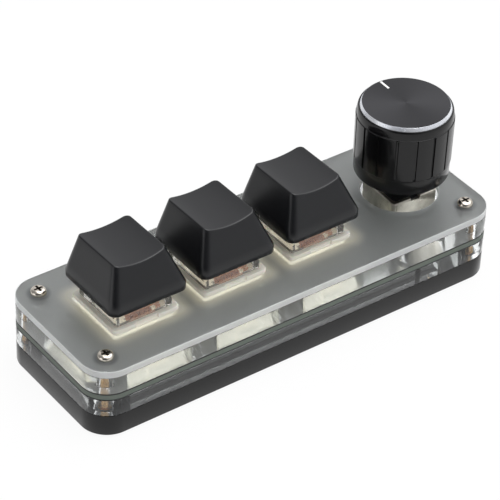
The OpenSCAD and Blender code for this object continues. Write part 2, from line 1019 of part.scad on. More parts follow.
module encoder_rotor() {
  color("#dcdad2")
    at_knob()
      difference() {
        union() {
          rod(rotor_d, rotor_t, z_rotor);
          rod(rotor_hub_d, rotor_t + rotor_hub_h, z_rotor);
        }
        driving_bar(key_d + 2 * run_gap, key_flat + 2 * run_gap,
                    rotor_t + rotor_hub_h + 2 * over, z_rotor - over);
      }
}

module encoder_plunger() {
  color("#efece2")
    at_knob()
      rod(plunger_d, plunger_h, z_plunger);
}

module encoder_shaft() {
  color("#b4b6b8")
    at_knob()
      difference() {
        union() {
          driving_bar(key_d, key_flat, z_collar - z_shaft, z_shaft);
          rod(collar_d, collar_t, z_collar);
          rod(shaft_d, z_shaft_top - z_collar, z_collar);
        }
        translate([-shaft_d, shaft_d / 2 - flat_in, z_shaft_top - flat_l])
          cube([2 * shaft_d, shaft_d, flat_l + over]);
      }
}

// Knob

module knob_body() {
  z_groove = z_knob + skirt_h;
  color("#26272a")
    at_knob()
      difference() {
        union() {
          difference() {
            knob_shell();
            knob_grooves(z_groove, z_shoulder - z_groove);
          }
          rod(boss_d, z_knob_top - knob_roof - z_knob - boss_lift, z_knob + boss_lift);
          knob_ribs();
        }
        shaft_bore();
        rod(ring_d + 2 * bore_gap, knob_cap_t + over, z_knob_top - knob_cap_t);
      }
}

// Turned shell: smooth skirt, raised grip band, round lip, slight taper, open below
module knob_shell() {
  r_foot = knob_foot_d / 2;
  r_in = r_foot - knob_wall;
  r_shoulder = knob_d / 2 - pad_out;
  r_lip = ring_d / 2 + lip_t;
  r_band = r_foot + (r_shoulder - r_foot) * skirt_h / (z_shoulder - z_knob);
  z_edge = z_knob_top - ring_h;
  rotate_extrude($fn = 96)
    polygon(concat(
      [[r_in, z_knob], [r_foot, z_knob]],
      [[r_band, z_knob + skirt_h], [r_band + pad_out, z_knob + skirt_h]],
      [[knob_d / 2, z_shoulder]],
      [for (a = [0:18:90])
        [r_lip + (r_shoulder - r_lip) * cos(a), z_shoulder + knob_shoulder * sin(a)]],
      [[0, z_edge], [0, z_edge - knob_roof], [r_in, z_edge - knob_roof]]));
}

module knob_grooves(z, h) {
  for (i = [0:groove_count - 1])
    rotate(i * 360 / groove_count)
      translate([knob_d / 2, 0, 0])
        block(2 * groove_in, groove_w, h, z);
}

module knob_ribs() {
  r_in = boss_d / 2 - rib_bite;
  r_out = knob_foot_d / 2 - knob_wall + rib_bite;
  for (i = [0:rib_count - 1])
    rotate((i + 1 / 2) * 360 / rib_count)
      translate([r_in, -rib_t / 2, z_knob + rib_lift])
        cube([r_out - r_in, rib_t, knob_h - rib_lift - ring_h - knob_roof + rib_bite]);
}

// Bore for the shaft, with its flat
module shaft_bore() {
  difference() {
    rod(shaft_d + 2 * bore_gap, z_shaft_top + shaft_end_gap - z_knob + over, z_knob - over);
    translate([-shaft_d, shaft_d / 2 - flat_in + bore_gap, z_shaft_top - flat_l + over])
      cube([2 * shaft_d, shaft_d, flat_l + over]);
  }
}

module knob_cap() {
  color("#3b3c40")
    at_knob()
      difference() {
        union() {
          rod(ring_d, knob_cap_t - ring_h, z_knob_top - knob_cap_t);
          translate([0, 0, z_knob_top - ring_h])
            cylinder(d1 = ring_d, d2 = disc_d, h = ring_h);
        }
        pointer_bar(press_gap, over);
      }
}

// Line near the edge of the cap, towards the rear
module pointer_bar(gap, rise) {
  translate([-pointer_w / 2 - gap, disc_d / 2 - pointer_edge - pointer_l - gap,
             z_knob_top - pointer_t])
    cube([pointer_w + 2 * gap, pointer_l + 2 * gap, pointer_t + rise]);
}

module knob_pointer() {
  color("#f2f2ee")
    at_knob()
      pointer_bar(0, 0);
}

rubber_feet();
base_plate();
threaded_inserts();
lower_frame();
circuit_board();
upper_frame();
top_plate();
case_screws();
controller_chip();
clock_crystal();
voltage_regulator();
board_passives();
key_leds();
usb_shell();
usb_tongue();
lower_housing(0);  // switch_1_lower_housing
lower_housing(1);  // switch_2_lower_housing
lower_housing(2);  // switch_3_lower_housing
upper_housing(0);  // switch_1_upper_housing
upper_housing(1);  // switch_2_upper_housing
upper_housing(2);  // switch_3_upper_housing
contacts(0);  // switch_1_contacts
contacts(1);  // switch_2_contacts
contacts(2);  // switch_3_contacts
stem(0);  // key_1_stem
stem(1);  // key_2_stem
stem(2);  // key_3_stem
spring(0);  // key_1_spring
spring(1);  // key_2_spring
spring(2);  // key_3_spring
cap(0);  // key_1_cap
cap(1);  // key_2_cap
cap(2);  // key_3_cap
encoder_base();
encoder_can();
encoder_bushing();
encoder_terminals();
encoder_dome();
encoder_rotor();
encoder_plunger();
encoder_shaft();
knob_body();
knob_cap();
knob_pointer();
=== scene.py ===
import math

import bpy
import numpy as np
from mathutils import Matrix, Vector
from mathutils.geometry import tessellate_polygon


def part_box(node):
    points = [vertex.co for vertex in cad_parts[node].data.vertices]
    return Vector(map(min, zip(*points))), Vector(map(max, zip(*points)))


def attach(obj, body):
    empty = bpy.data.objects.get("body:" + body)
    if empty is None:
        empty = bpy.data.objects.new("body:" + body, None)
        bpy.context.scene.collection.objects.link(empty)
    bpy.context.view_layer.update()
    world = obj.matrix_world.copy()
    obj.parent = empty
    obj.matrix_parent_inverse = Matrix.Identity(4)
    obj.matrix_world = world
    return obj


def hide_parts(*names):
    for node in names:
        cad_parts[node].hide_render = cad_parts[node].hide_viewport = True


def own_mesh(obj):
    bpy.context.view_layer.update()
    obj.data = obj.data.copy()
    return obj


# Looks of a desk macro keypad: stacked acrylic sheets, three keys and a push-and-turn knob.
# Shapes are worked out in millimetres in the frame of the CAD part, and written in metres.

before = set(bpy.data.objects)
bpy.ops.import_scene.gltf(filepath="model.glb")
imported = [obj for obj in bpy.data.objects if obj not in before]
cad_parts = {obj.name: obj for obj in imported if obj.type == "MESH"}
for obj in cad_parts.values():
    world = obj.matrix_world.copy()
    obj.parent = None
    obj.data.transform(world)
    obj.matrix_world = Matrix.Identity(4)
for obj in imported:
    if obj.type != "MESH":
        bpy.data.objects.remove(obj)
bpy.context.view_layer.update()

MM = 0.001


def node_box(name):
    """Lowest and highest corner of a CAD node, in millimetres."""
    low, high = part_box(name)
    return np.array(low) / MM, np.array(high) / MM


def node_size(name):
    """Length, width and height of a CAD node, in millimetres."""
    low, high = node_box(name)
    return high - low


# Faces of the sandwich and places of what stands on it, from the frame
HALF_X, HALF_Y = node_box("base_plate")[1][:2]
Z_BASE, Z_LOWER = (corner[2] for corner in node_box("base_plate"))
Z_BOARD, Z_UPPER = (corner[2] for corner in node_box("circuit_board"))
Z_PLATE, Z_TOP = (corner[2] for corner in node_box("top_plate"))
KEYS = (1, 2, 3)
KEY_X = {k: sum(corner[0] for corner in node_box(f"key_{k}_cap")) / 2 for k in KEYS}
KNOB_X = sum(corner[0] for corner in node_box("knob_cap")) / 2
USB_X = sum(corner[0] for corner in node_box("usb_shell")) / 2

# Sheets
CORNER_R = 6.0
AIR = 0.02
SHEET_EDGE = 0.12
HOLE_EDGE = 0.2
SCREW_INSET = 5.0
SCREW_HOLE_R = 1.1
LENS_HOLE_R = 2.2
PLATE_OPENING = 14.0
FRAME_OPENING = 15.4
OPENING_R = 0.25
PLATE_HOLE_R = 8.25
FRAME_HOLE_R = 8.33
FRAME_WALL = 3.0
FRAME_END = 8.5
FRAME_RIB = 1.3
CAN_SIDE_GAP = 0.3
STEP_IN = 1.2
RELIEF_HALF = 8.9
RELIEF_END = 6.4
USB_NOTCH_GAP = 0.3
USB_WALL = 0.3
USB_BACK = 1.0
USB_R = 1.4
BOARD_SKIN_T = 0.28

# Keycaps, from their base
CAP_SKIRT = 1.5
CAP_DROP = 0.35
CAP_TOP_W = 12.0
CAP_FRONT_IN = 3.9
CAP_REAR_IN = 0.7
CAP_DISH = 0.85
CAP_R = 1.9
CAP_TOP_R = 1.2
CAP_WALL = 1.4
CAP_CEILING = 6.85
CAP_ROUND = 0.3
CAP_FOOT_ROUND = 0.15
SOCKET_R = 2.75
CROSS_L = 4.06
CROSS_W = 1.26
SOCKET_LIFT = 1.45
CROSS_IN = 3.65

# Key switches. ROOF_OPENING is a length and a width.
FLANGE_T = 1.0
FLANGE_R = 1.0
HOUSING_HALF = 6.95
HOUSING_WALL = 1.2
HOUSING_LIFT = 0.5
HOUSING_FLOOR = 1.2
POST_R = 1.95
POLE_BORE_R = 1.1
POLE_BORE_IN = 4.3
CLIP_W = 4.8
CLIP_OUT = 0.4
CLIP_H = 1.3
CLIP_SUNK = 0.1
NOTCH_HALF = 2.6
NOTCH_IN = 0.4
UPPER_FOOT = 1.6
UPPER_WALL = 1.2
ROOF_W = 10.6
ROOF_OPENING = (7.3, 5.9)
SPRING_R = 2.05
WIRE_R = 0.15
SPRING_TURNS = 7

# Encoder and knob, which sit turned on the board by an angle in degrees. CAN_SLOT is a slot's
# half length and height, CAN_SEAM a seam's place, width and depth, and POINTER half the width of
# the line and its two ends.
ENCODER_TURN = -2.3
CAN_HALF = 5.7
CAN_R = 0.8
CAN_WALL = 0.4
CAN_RIM = 0.9
CAN_FOLD = 0.3
CAN_SLOT = (1.2, 0.6)
CAN_SEAM = (5.0, 0.24, 0.3)
CAN_TAB_W = 6.8
CAN_LEG_W = 2.1
TAB_REST = 1.3
DOME_T = 0.12
KNOB_R = 10.3
KNOB_FOOT_R = 10.05
SKIRT_H = 3.35
SHOULDER_H = 2.0
EDGE_DROP = 0.25
RING_H = 0.72
RING_R = 9.6
DISC_R = 9.18
LIP_T = 0.12
PAD_OUT = 0.15
GROOVES = 16
GROOVE_W = 0.5
GROOVE_IN = 0.35
KNOB_WALL = 1.6
KNOB_ROOF = 2.0
BOSS_R = 4.5
BOSS_LIFT = 0.8
SHAFT_R = 3.0
SHAFT_FLAT_L = 9.5
BORE_GAP = 0.04
BORE_TOP = 0.2
FLAT_IN = 1.5
POINTER = (0.25, 6.1, 9.0)

# Screws. CROSS_SLOT is half the length and half the width of a bar of the cross, and its depth.
HEAD_R = 1.7
HEAD_H = 1.2
SHANK_R = 1.0
THREAD_PITCH = 0.4
THREAD_IN = 0.13
CROSS_SLOT = (0.98, 0.24, 0.7)

# Painted light and shade of the plate: inner and outer radius of the painted shade round a screw,
# half of the square round a switch that has a painted glow, how far the glow reaches past it, and
# a distance past every reach
HALO_R = (1.9, 2.9)
GLOW_HALF = 7.2
GLOW_R = 4.5
FAR = 9.0


# Shapes. A shell is points, faces of three or four points and a material index for each face.

def rounded_loop(half_x, half_y, radius, arc=8, side=0):
    """Loop round a rectangle with round corners, anticlockwise from the right front corner.

    Each corner has arc + 1 points on a quarter circle, and each side has side more points at even
    steps between two corners.
    """
    turn = np.radians(np.linspace(0, 90, arc + 1)) + np.radians([-90, 0, 90, 180])[:, None]
    centre = np.array([[1, -1], [1, 1], [-1, 1], [-1, -1]]) * [half_x - radius, half_y - radius]
    arcs = centre[:, None] + radius * np.stack([np.cos(turn), np.sin(turn)], axis=-1)
    share = ((np.arange(side) + 1) / (side + 1))[:, None]
    following = np.roll(arcs[:, 0], -1, axis=0)
    sides = arcs[:, -1, None] + (following - arcs[:, -1])[:, None] * share
    return np.concatenate([arcs, sides], axis=1).reshape(-1, 2)


def marked_loop(half_x, half_y, radius, marks, arc=6):
    """Rounded loop whose front and rear sides have a point at each marked place.

    marks are pairs of a place along the side, from left to right, and a group number. Returns the
    loop and the group of each of its points, 0 where there is none.
    """
    loop = rounded_loop(half_x, half_y, radius, arc, len(marks)).reshape(4, -1, 2)
    group = np.zeros(loop.shape[:2], int)
    places = np.array([place for place, _ in marks])
    groups = np.array([number for _, number in marks])
    loop[1, arc + 1:, 0], group[1, arc + 1:] = places[::-1], groups[::-1]
    loop[3, arc + 1:, 0], group[3, arc + 1:] = places, groups
    return loop.reshape(-1, 2), group.reshape(-1)


def circle(radius, count=96):
    """Points on a circle, anticlockwise."""
    turn = np.linspace(0, 2 * np.pi, count, endpoint=False)
    return radius * np.stack([np.cos(turn), np.sin(turn)], axis=-1)


def inset(loop, distance):
    """The loop moved to its inside by a distance, each corner along its own bisector."""
    along = np.roll(loop, -1, axis=0) - loop
    along /= np.linalg.norm(along, axis=1)[:, None]
    normal = np.stack([-along[:, 1], along[:, 0]], axis=-1)
    before = np.roll(normal, 1, axis=0)
    return loop + distance * (normal + before) / (1 + (normal * before).sum(axis=1))[:, None]


def at_level(loop, z):
    """The loop as points in space at one height, or at a height for each point."""
    return np.column_stack([loop, np.broadcast_to(z, len(loop))])


def moved(shell, by):
    """The shell at another place."""
    points, faces, paints = shell
    return points + np.asarray(by, float), faces, paints


def on_encoder(shell):
    """The shell turned about its own axis by the encoder's angle, and set on its axis."""
    points, faces, paints = shell
    turn = math.radians(ENCODER_TURN)
    c, s = math.cos(turn), math.sin(turn)
    return moved((points @ np.array([[c, s, 0], [-s, c, 0], [0, 0, 1]]), faces, paints),
                 (KNOB_X, 0, 0))


def join(*shells):
    """Several shells as one."""
    starts = np.cumsum([0] + [len(points) for points, _, _ in shells])
    faces = [np.where(f >= 0, f + start, -1) for (_, f, _), start in zip(shells, starts)]
    return (np.concatenate([s[0] for s in shells]), np.concatenate(faces),
            np.concatenate([s[2] for s in shells]))


def band(rings, wrap=False):
    """Quads between neighbouring loops of a stack, as rows of point numbers."""
    count, around = rings.shape[:2]
    rows = np.arange(count if wrap else count - 1)
    low = (rows * around)[:, None]
    high = ((rows + 1) % count * around)[:, None]
    here = np.arange(around)
    after = (here + 1) % around
    return np.stack([low + here, low + after, high + after, high + here], axis=-1).reshape(-1, 4)


def skin(rings, paint=0, wrap=False):
    """Closed surface through a stack of loops that have the same number of points.

    The first and the last loop are closed by a fan of triangles round their middle, or joined to
    each other where wrap is set. Faces point outwards where the loops run anticlockwise and the
    stack rises along the outside. paint is a material index, or one for each band.
    """
    rings = np.asarray(rings, float)
    count, around = rings.shape[:2]
    faces = band(rings, wrap)
    bands = np.broadcast_to(paint, len(faces) // around)
    paints = np.repeat(bands, around)
    points = rings.reshape(-1, 3)
    if wrap:
        return points, faces, paints
    here = np.arange(around)
    after = (here + 1) % around
    last = (count - 1) * around
    none = np.full(around, -1)
    first_fan = np.stack([after, here, np.full(around, len(points)), none], axis=-1)
    last_fan = np.stack([last + here, last + after, np.full(around, len(points) + 1), none],
                        axis=-1)
    middles = np.stack([rings[0].mean(axis=0), rings[-1].mean(axis=0)])
    return (np.concatenate([points, middles]), np.concatenate([faces, first_fan, last_fan]),
            np.concatenate([paints, np.full(around, bands[0]), np.full(around, bands[-1])]))


def lathe(profile, around=96, paint=0, wrap=False):
    """Surface of revolution about the Z axis, from pairs of radius and height."""
    loop = circle(1.0, around)
    return skin([at_level(loop * r, z) for r, z in profile], paint, wrap)


def rim(z_low, z_high, edge, steps=3, land=0.04):
    """Insets and heights of a sheet's edge, from its lower face to its upper one.

    Both edges are quarter circles, with a narrow flat land inside each of them.
    """
    turn = np.radians(np.linspace(0, 90, steps + 1))
    low_in, low_z = edge * (1 - np.sin(turn)), z_low + edge * (1 - np.cos(turn))
    high_in, high_z = edge * (1 - np.cos(turn)), z_high - edge * (1 - np.sin(turn))
    insets = np.concatenate([[edge + land], low_in, high_in, [edge + land]])
    return insets, np.concatenate([[z_low], low_z, high_z, [z_high]])


def soft_block(low, high, corner, edge, paint=0):
    """Block between two corners, with round upright edges and smaller rounds above and below."""
    low, high = np.asarray(low, float), np.asarray(high, float)
    half, middle = (high - low)[:2] / 2, (high + low)[:2] / 2
    rings = [at_level(rounded_loop(*(half - d), max(corner - d, edge / 4), 4) + middle, z)
             for d, z in zip(*rim(low[2], high[2], edge, 2))]
    return skin(rings, paint)


def facing_blocks(near, far, half_w, z_low, z_high, edges, axis=1):
    """Two blocks that face each other between two distances from the middle.

    They lie in front and behind, or with axis 0 to the left and right. edges are the radii of
    their upright and their level edges.
    """
    blocks = []
    for side in (-1, 1):
        low, high = np.array([-half_w, -half_w, z_low]), np.array([half_w, half_w, z_high])
        low[axis], high[axis] = sorted((side * near, side * far))
        blocks.append(soft_block(low, high, *edges))
    return blocks


def filled(loops, numbers, upwards):
    """Flat triangles between an outer loop and the holes in it, all facing one way."""
    flat = np.concatenate(loops)
    found = np.array(tessellate_polygon([at_level(loop, 0).tolist() for loop in loops]))
    a, b, c = (flat[found[:, i]] for i in range(3))
    area = (b - a)[:, 0] * (c - a)[:, 1] - (b - a)[:, 1] * (c - a)[:, 0]
    found = np.where(((area > 0) == upwards)[:, None], found, found[:, ::-1])
    return np.column_stack([np.concatenate(numbers)[found], np.full(len(found), -1)])


def sheet(outline, holes, z_low, z_high, edge=SHEET_EDGE, paints=(0, 0, 0)):
    """Flat sheet with holes through it, closed all round.

    The rim's profile is carried along the outline and, turned inside out, along each hole, and
    flat triangles fill the upper and lower faces between them. paints are the material indices of
    the lower face, the rims and the upper face. A hole may be a pair of a loop and its own edge.
    """
    points, faces, upper, lower = [], [], [], []
    start = 0
    for number, entry in enumerate([outline, *holes]):
        loop, round_in = entry if isinstance(entry, tuple) else (entry, edge)
        sign = 1 if number == 0 else -1
        insets, levels = rim(z_low, z_high, round_in)
        rings = np.stack([at_level(inset(loop, sign * d), z) for d, z in zip(insets, levels)])
        rings = rings[::sign]
        count, around = rings.shape[:2]
        ends = [start + np.arange(around), start + (count - 1) * around + np.arange(around)]
        lower.append((rings[0 if sign > 0 else -1][:, :2], ends[0 if sign > 0 else 1]))
        upper.append((rings[-1 if sign > 0 else 0][:, :2], ends[1 if sign > 0 else 0]))
        faces.append(band(rings) + start)
        points.append(rings.reshape(-1, 3))
        start += count * around
    rims = np.concatenate(faces)
    below = filled([loop for loop, _ in lower], [n for _, n in lower], False)
    above = filled([loop for loop, _ in upper], [n for _, n in upper], True)
    paint = np.repeat([paints[1], paints[0], paints[2]], [len(rims), len(below), len(above)])
    return np.concatenate(points), np.concatenate([rims, below, above]), paint


def tube(path, radius, sides=10):
    """Round wire along a path, closed at both ends.

    Each ring stands square to the path, between the outward direction from the path's own axis
    and the direction square to that.
    """
    along = np.gradient(path, axis=0)
    along /= np.linalg.norm(along, axis=1)[:, None]
    out = path * [1, 1, 0]
    out /= np.linalg.norm(out, axis=1)[:, None]
    up = np.cross(along, out)
    turn = np.linspace(0, 2 * np.pi, sides, endpoint=False)[None, :, None]
    ring = np.cos(turn) * out[:, None] + np.sin(turn) * up[:, None]
    return skin(path[:, None] + radius * ring)


def new_object(name, data):
    """New object of a mesh, a lamp or a camera, in the scene."""
    made = bpy.data.objects.new(name, data)
    bpy.context.scene.collection.objects.link(made)
    return made


def add_piece(name, shell, finishes, body, nodes=(), sharp=40):
    """Write a shell as a mesh piece that rides on a body and stands for CAD nodes."""
    points, faces, paints = shell
    quad = faces[:, 3] >= 0
    mesh = bpy.data.meshes.new(name)
    mesh.from_pydata((points * MM).tolist(), [], faces[quad].tolist() + faces[~quad, :3].tolist())
    order = np.concatenate([paints[quad], paints[~quad]]).astype(np.int32)
    for finish in finishes:
        mesh.materials.append(finish)
    mesh.polygons.foreach_set("material_index", order)
    mesh.shade_smooth()
    mesh.set_sharp_from_angle(angle=math.radians(sharp))
    piece = new_object(name, mesh)
    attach(piece, body)
    if nodes:
        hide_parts(*nodes)
    return piece


# Materials

def to_linear(code):
    """Linear colour of an sRGB hex value."""
    levels = np.array([int(code[i:i + 2], 16) for i in (1, 3, 5)]) / 255
    linear = np.where(levels <= 0.04045, levels / 12.92, ((levels + 0.055) / 1.055) ** 2.4)
    return (*linear.tolist(), 1.0)


def add(tree, kind, inputs=None, **settings):
    """Add a node with its settings; inputs are values or the sockets that feed it."""
    made = tree.nodes.new(kind)
    for key, value in settings.items():
        setattr(made, key, value)
    for key, value in (inputs or {}).items():
        if isinstance(value, bpy.types.NodeSocket):
            tree.links.new(value, made.inputs[key])
        else:
            made.inputs[key].default_value = value
    return made


def new_finish(name, colour, roughness, **sockets):
    """New material: a Principled shader with a colour, a roughness and other constant sockets."""
    made = bpy.data.materials.new(name)
    made.use_nodes = True
    shader = made.node_tree.nodes["Principled BSDF"]
    shader.inputs["Base Color"].default_value = to_linear(colour)
    shader.inputs["Roughness"].default_value = roughness
    for key, value in sockets.items():
        shader.inputs[key.replace("_", " ")].default_value = value
    # A weak glow isn't sampled as a lamp, which would only add noise
    made.cycles.emission_sampling = "NONE"
    return made, made.node_tree, shader


def place_of(tree, centre=(0, 0, 0)):
    """Object coordinates in millimetres, from a centre."""
    place = add(tree, "ShaderNodeTexCoord").outputs["Object"]
    return add(tree, "ShaderNodeMapping", {"Vector": place, "Location": [-c for c in centre],
                                           "Scale": [1 / MM] * 3}).outputs["Vector"]


def grain(tree, shader, place, size, height, rough=None, tints=None, detail=3.0):
    """Noise of a grain size in mm as a bump of a height in mm, a spread of roughness and tint."""
    noise = add(tree, "ShaderNodeTexNoise", {"Vector": place, "Scale": 1 / size, "Detail": detail})
    bump = add(tree, "ShaderNodeBump", {"Height": noise.outputs["Fac"], "Distance": height * MM,
                                        "Strength": 1.0})
    tree.links.new(bump.outputs["Normal"], shader.inputs["Normal"])
    if rough:
        spread = add(tree, "ShaderNodeMapRange", {"Value": noise.outputs["Fac"],
                                                  "From Min": 0.3, "From Max": 0.7,
                                                  "To Min": rough[0], "To Max": rough[1]})
        tree.links.new(spread.outputs["Result"], shader.inputs["Roughness"])
    if tints:
        broad = add(tree, "ShaderNodeTexNoise", {"Vector": place, "Scale": 1 / (size * 6),
                                                 "Detail": 2.0})
        tint = add(tree, "ShaderNodeMix", {"Factor": broad.outputs["Fac"], 6: to_linear(tints[0]),
                                           7: to_linear(tints[1])}, data_type="RGBA")
        tree.links.new(tint.outputs[2], shader.inputs["Base Color"])


def grained(name, colour, roughness, size, height, rough=None, tints=None, detail=3.0,
            **sockets):
    """New material with a grain all over: colour, roughness, and then what grain takes.

    Other keywords are constant sockets of its shader.
    """
    made, tree, shader = new_finish(name, colour, roughness, **sockets)
    grain(tree, shader, place_of(tree), size, height, rough, tints, detail)
    return made


def moulded_abs_keycap():
    """Injection-moulded ABS from a spark-eroded tool: dark, with a fine satin grain."""
    # The real grain is about 0.05 mm, which is too fine to show, so it is drawn at 0.3 mm
    return grained("spark_eroded_abs", "#121315", 0.38, size=0.3, height=0.0018,
                   rough=(0.28, 0.36), tints=("#101113", "#141518"), Specular_IOR_Level=0.46)


def moulded_abs_knob():
    """Injection-moulded ABS from a polished tool: deep black with a soft gloss."""
    return grained("polished_tool_abs", "#0d0d0e", 0.19, size=1.2, height=0.0003,
                   rough=(0.16, 0.22), Specular_IOR_Level=0.34)


def anodised_disc():
    """Black anodised aluminium, turned on a lathe: fine rings that fan the light out."""
    made, tree, shader = new_finish("turned_black_anodised_aluminium", "#444446", 0.34,
                                    Metallic=1.0, Anisotropic=0.6)
    place = place_of(tree, (KNOB_X, 0, 0))
    flat = add(tree, "ShaderNodeVectorMath", {0: place, 1: (1, 1, 0)}, operation="MULTIPLY")
    radius = add(tree, "ShaderNodeVectorMath", {0: flat.outputs[0]}, operation="LENGTH")
    # Turning marks are 0.05 mm apart on the real disc, and drawn 0.16 mm apart to show
    rings = add(tree, "ShaderNodeTexNoise", {"W": radius.outputs["Value"], "Scale": 1 / 0.16,
                                             "Detail": 2.0}, noise_dimensions="1D")
    bump = add(tree, "ShaderNodeBump", {"Height": rings.outputs["Fac"], "Distance": 0.002 * MM})
    tree.links.new(bump.outputs["Normal"], shader.inputs["Normal"])
    tangent = add(tree, "ShaderNodeVectorMath", {0: flat.outputs[0], 1: (0, 0, 1)},
                  operation="CROSS_PRODUCT")
    tree.links.new(tangent.outputs[0], shader.inputs["Tangent"])
    spread = add(tree, "ShaderNodeMapRange", {"Value": rings.outputs["Fac"],
                                              "To Min": 0.28, "To Max": 0.42})
    tree.links.new(spread.outputs["Result"], shader.inputs["Roughness"])
    return made


def diamond_cut_edge():
    """Aluminium cut bright with a diamond tool after anodising: pale, with soft streaks."""
    return grained("diamond_cut_aluminium", "#e9ebef", 0.24, size=0.8, height=0.003,
                   rough=(0.16, 0.3), tints=("#c3cad8", "#f7f7f6"), Metallic=0.45)


def pointer_paint():
    """White enamel filled into the pointer's slot: slightly chalky."""
    return grained("filled_white_enamel", "#f4f4f1", 0.45, size=0.2, height=0.003)


def cast_acrylic():
    """Clear cast acrylic with laser-polished edges: glassy, with faint flow lines."""
    # A laser leaves ripples 0.3 mm apart along a cut edge, drawn at 0.9 mm to show
    return grained("cast_acrylic", "#f6f9f8", 0.02, size=0.9, height=0.006, rough=(0.01, 0.04),
                   IOR=1.49, Transmission_Weight=1.0)


def away_from_screws(tree, place):
    """Distance from the nearest screw's head, with the plate folded onto one corner."""
    folded = add(tree, "ShaderNodeVectorMath", {0: place}, operation="ABSOLUTE").outputs[0]
    corner = (HALF_X - SCREW_INSET, HALF_Y - SCREW_INSET, Z_TOP)
    return add(tree, "ShaderNodeVectorMath", {0: folded, 1: corner},
               operation="DISTANCE").outputs["Value"]


def away_from_switches(tree, place):
    """Distance outside the nearest switch's square, at any height of the plate."""
    nearest = FAR
    for x in KEY_X.values():
        spot = place
        for operation, by in (("SUBTRACT", (x, 0, Z_TOP)), ("ABSOLUTE", (0, 0, 0)),
                              ("SUBTRACT", (GLOW_HALF, GLOW_HALF, FAR)), ("MAXIMUM", (0, 0, 0))):
            spot = add(tree, "ShaderNodeVectorMath", {0: spot, 1: by},
                       operation=operation).outputs[0]
        away = add(tree, "ShaderNodeVectorMath", {0: spot}, operation="LENGTH")
        nearest = add(tree, "ShaderNodeMath", {0: nearest, 1: away.outputs["Value"]},
                      operation="MINIMUM").outputs[0]
    return nearest


def frosted_acrylic():
    """Sanded face of acrylic: light passes through and is scattered wide, with a pale veil.

    Round each screw head a darker ring is painted into the colour: painted shade of the head, with
    the dark shank and board seen through. Round each switch a cream glow is painted in, a tint and
    a
    weak emission: painted light that stands in for light from the nylon below.
    """
    made, tree, shader = new_finish("sanded_acrylic_painted_glow_and_shade", "#cfd1d0", 0.4, IOR=1.49,
                                    Transmission_Weight=0.93, Emission_Strength=1.0)
    place = place_of(tree)
    grain(tree, shader, place, 0.25, 0.004, (0.38, 0.5))
    clear = add(tree, "ShaderNodeMapRange", {"Value": away_from_screws(tree, place),
                                             "From Min": HALO_R[0], "From Max": HALO_R[1]},
                interpolation_type="SMOOTHSTEP").outputs["Result"]
    painted_glow = add(tree, "ShaderNodeMapRange", {"Value": away_from_switches(tree, place),
                                           "From Min": 0.0, "From Max": GLOW_R,
                                           "To Min": 1.0, "To Max": 0.0},
              interpolation_type="SMOOTHSTEP").outputs["Result"]
    # Darker ring round each screw head: painted shade
    plain = add(tree, "ShaderNodeMix", {"Factor": clear, 6: to_linear("#85888a"),
                                        7: to_linear("#c6c8c7")}, data_type="RGBA")
    # Cream tint and emission round each switch: painted glow, the plate is no lamp
    tint = add(tree, "ShaderNodeMix", {"Factor": painted_glow, 6: plain.outputs[2],
                                       7: to_linear("#fffdf3")}, data_type="RGBA")
    light = add(tree, "ShaderNodeMix", {"Factor": painted_glow, 6: to_linear("#000000"),
                                        7: to_linear("#676253")}, data_type="RGBA")
    tree.links.new(tint.outputs[2], shader.inputs["Base Color"])
    tree.links.new(light.outputs[2], shader.inputs["Emission Color"])
    return made


def sawn_edge():
    """Sawn and lightly sanded edge of the frosted sheet: a bright, milky band."""
    return grained("sawn_acrylic_edge", "#eef0ef", 0.4, size=0.3, height=0.006,
                   rough=(0.34, 0.48), IOR=1.49, Transmission_Weight=0.45)


def pressed_face(name, colour, clear):
    """Sheet face against its neighbour: clear, and a contact bloom with painted light and shade.
    """
    return grained(name, colour, 0.04, size=1.6, height=0.004, rough=(0.04, 0.12), IOR=1.49,
                   Transmission_Weight=clear)


def recess_shadow():
    """Cross recess of a screw, painted dark: painted shade in the hollow of the cross."""
    return grained("recess_painted_shade", "#3b332b", 0.45, size=0.15, height=0.01, rough=(0.35, 0.6),
                   Metallic=0.6)


def black_acrylic():
    """Black cast acrylic: a deep gloss with a little orange peel."""
    return grained("black_cast_acrylic", "#0a0a0b", 0.2, size=2.5, height=0.004,
                   rough=(0.16, 0.26), tints=("#090909", "#0e0e0f"), IOR=1.49,
                   Specular_IOR_Level=0.38)


def board_laminate():
    """Glass-epoxy laminate under black solder mask: a grey-green cut edge between dark skins."""
    made, tree, shader = new_finish("glass_epoxy_laminate", "#6c746c", 0.6)
    place = place_of(tree)
    height = add(tree, "ShaderNodeSeparateXYZ", {"Vector": place}).outputs["Z"]
    for operation, by in (("SUBTRACT", (Z_BOARD + Z_UPPER) / 2), ("ABSOLUTE", 0.0),
                          ("GREATER_THAN", (Z_UPPER - Z_BOARD) / 2 - BOARD_SKIN_T)):
        height = add(tree, "ShaderNodeMath", {0: height, 1: by}, operation=operation).outputs[0]
    # Glass cloth shows on a cut edge as streaks about 0.2 mm apart
    streak = add(tree, "ShaderNodeMapping", {"Vector": place, "Scale": (0.6, 0.6, 5)})
    fibre = add(tree, "ShaderNodeTexNoise", {"Vector": streak.outputs["Vector"], "Scale": 1.0,
                                             "Detail": 4.0}).outputs["Fac"]
    core = add(tree, "ShaderNodeMix", {"Factor": fibre, 6: to_linear("#4d564e"),
                                       7: to_linear("#6d766c")}, data_type="RGBA")
    whole = add(tree, "ShaderNodeMix", {"Factor": height, 6: core.outputs[2],
                                        7: to_linear("#101112")}, data_type="RGBA")
    tree.links.new(whole.outputs[2], shader.inputs["Base Color"])
    bump = add(tree, "ShaderNodeBump", {"Height": fibre, "Distance": 0.01 * MM})
    tree.links.new(bump.outputs["Normal"], shader.inputs["Normal"])
    return made


def nickel_plate():
    """Bright nickel plate on small cold-headed screws: warm silver with tool marks."""
    return grained("bright_nickel_plate", "#d9d2c6", 0.14, size=0.3, height=0.004,
                   rough=(0.08, 0.24), tints=("#cfc6b8", "#e2dcd2"), Metallic=1.0)


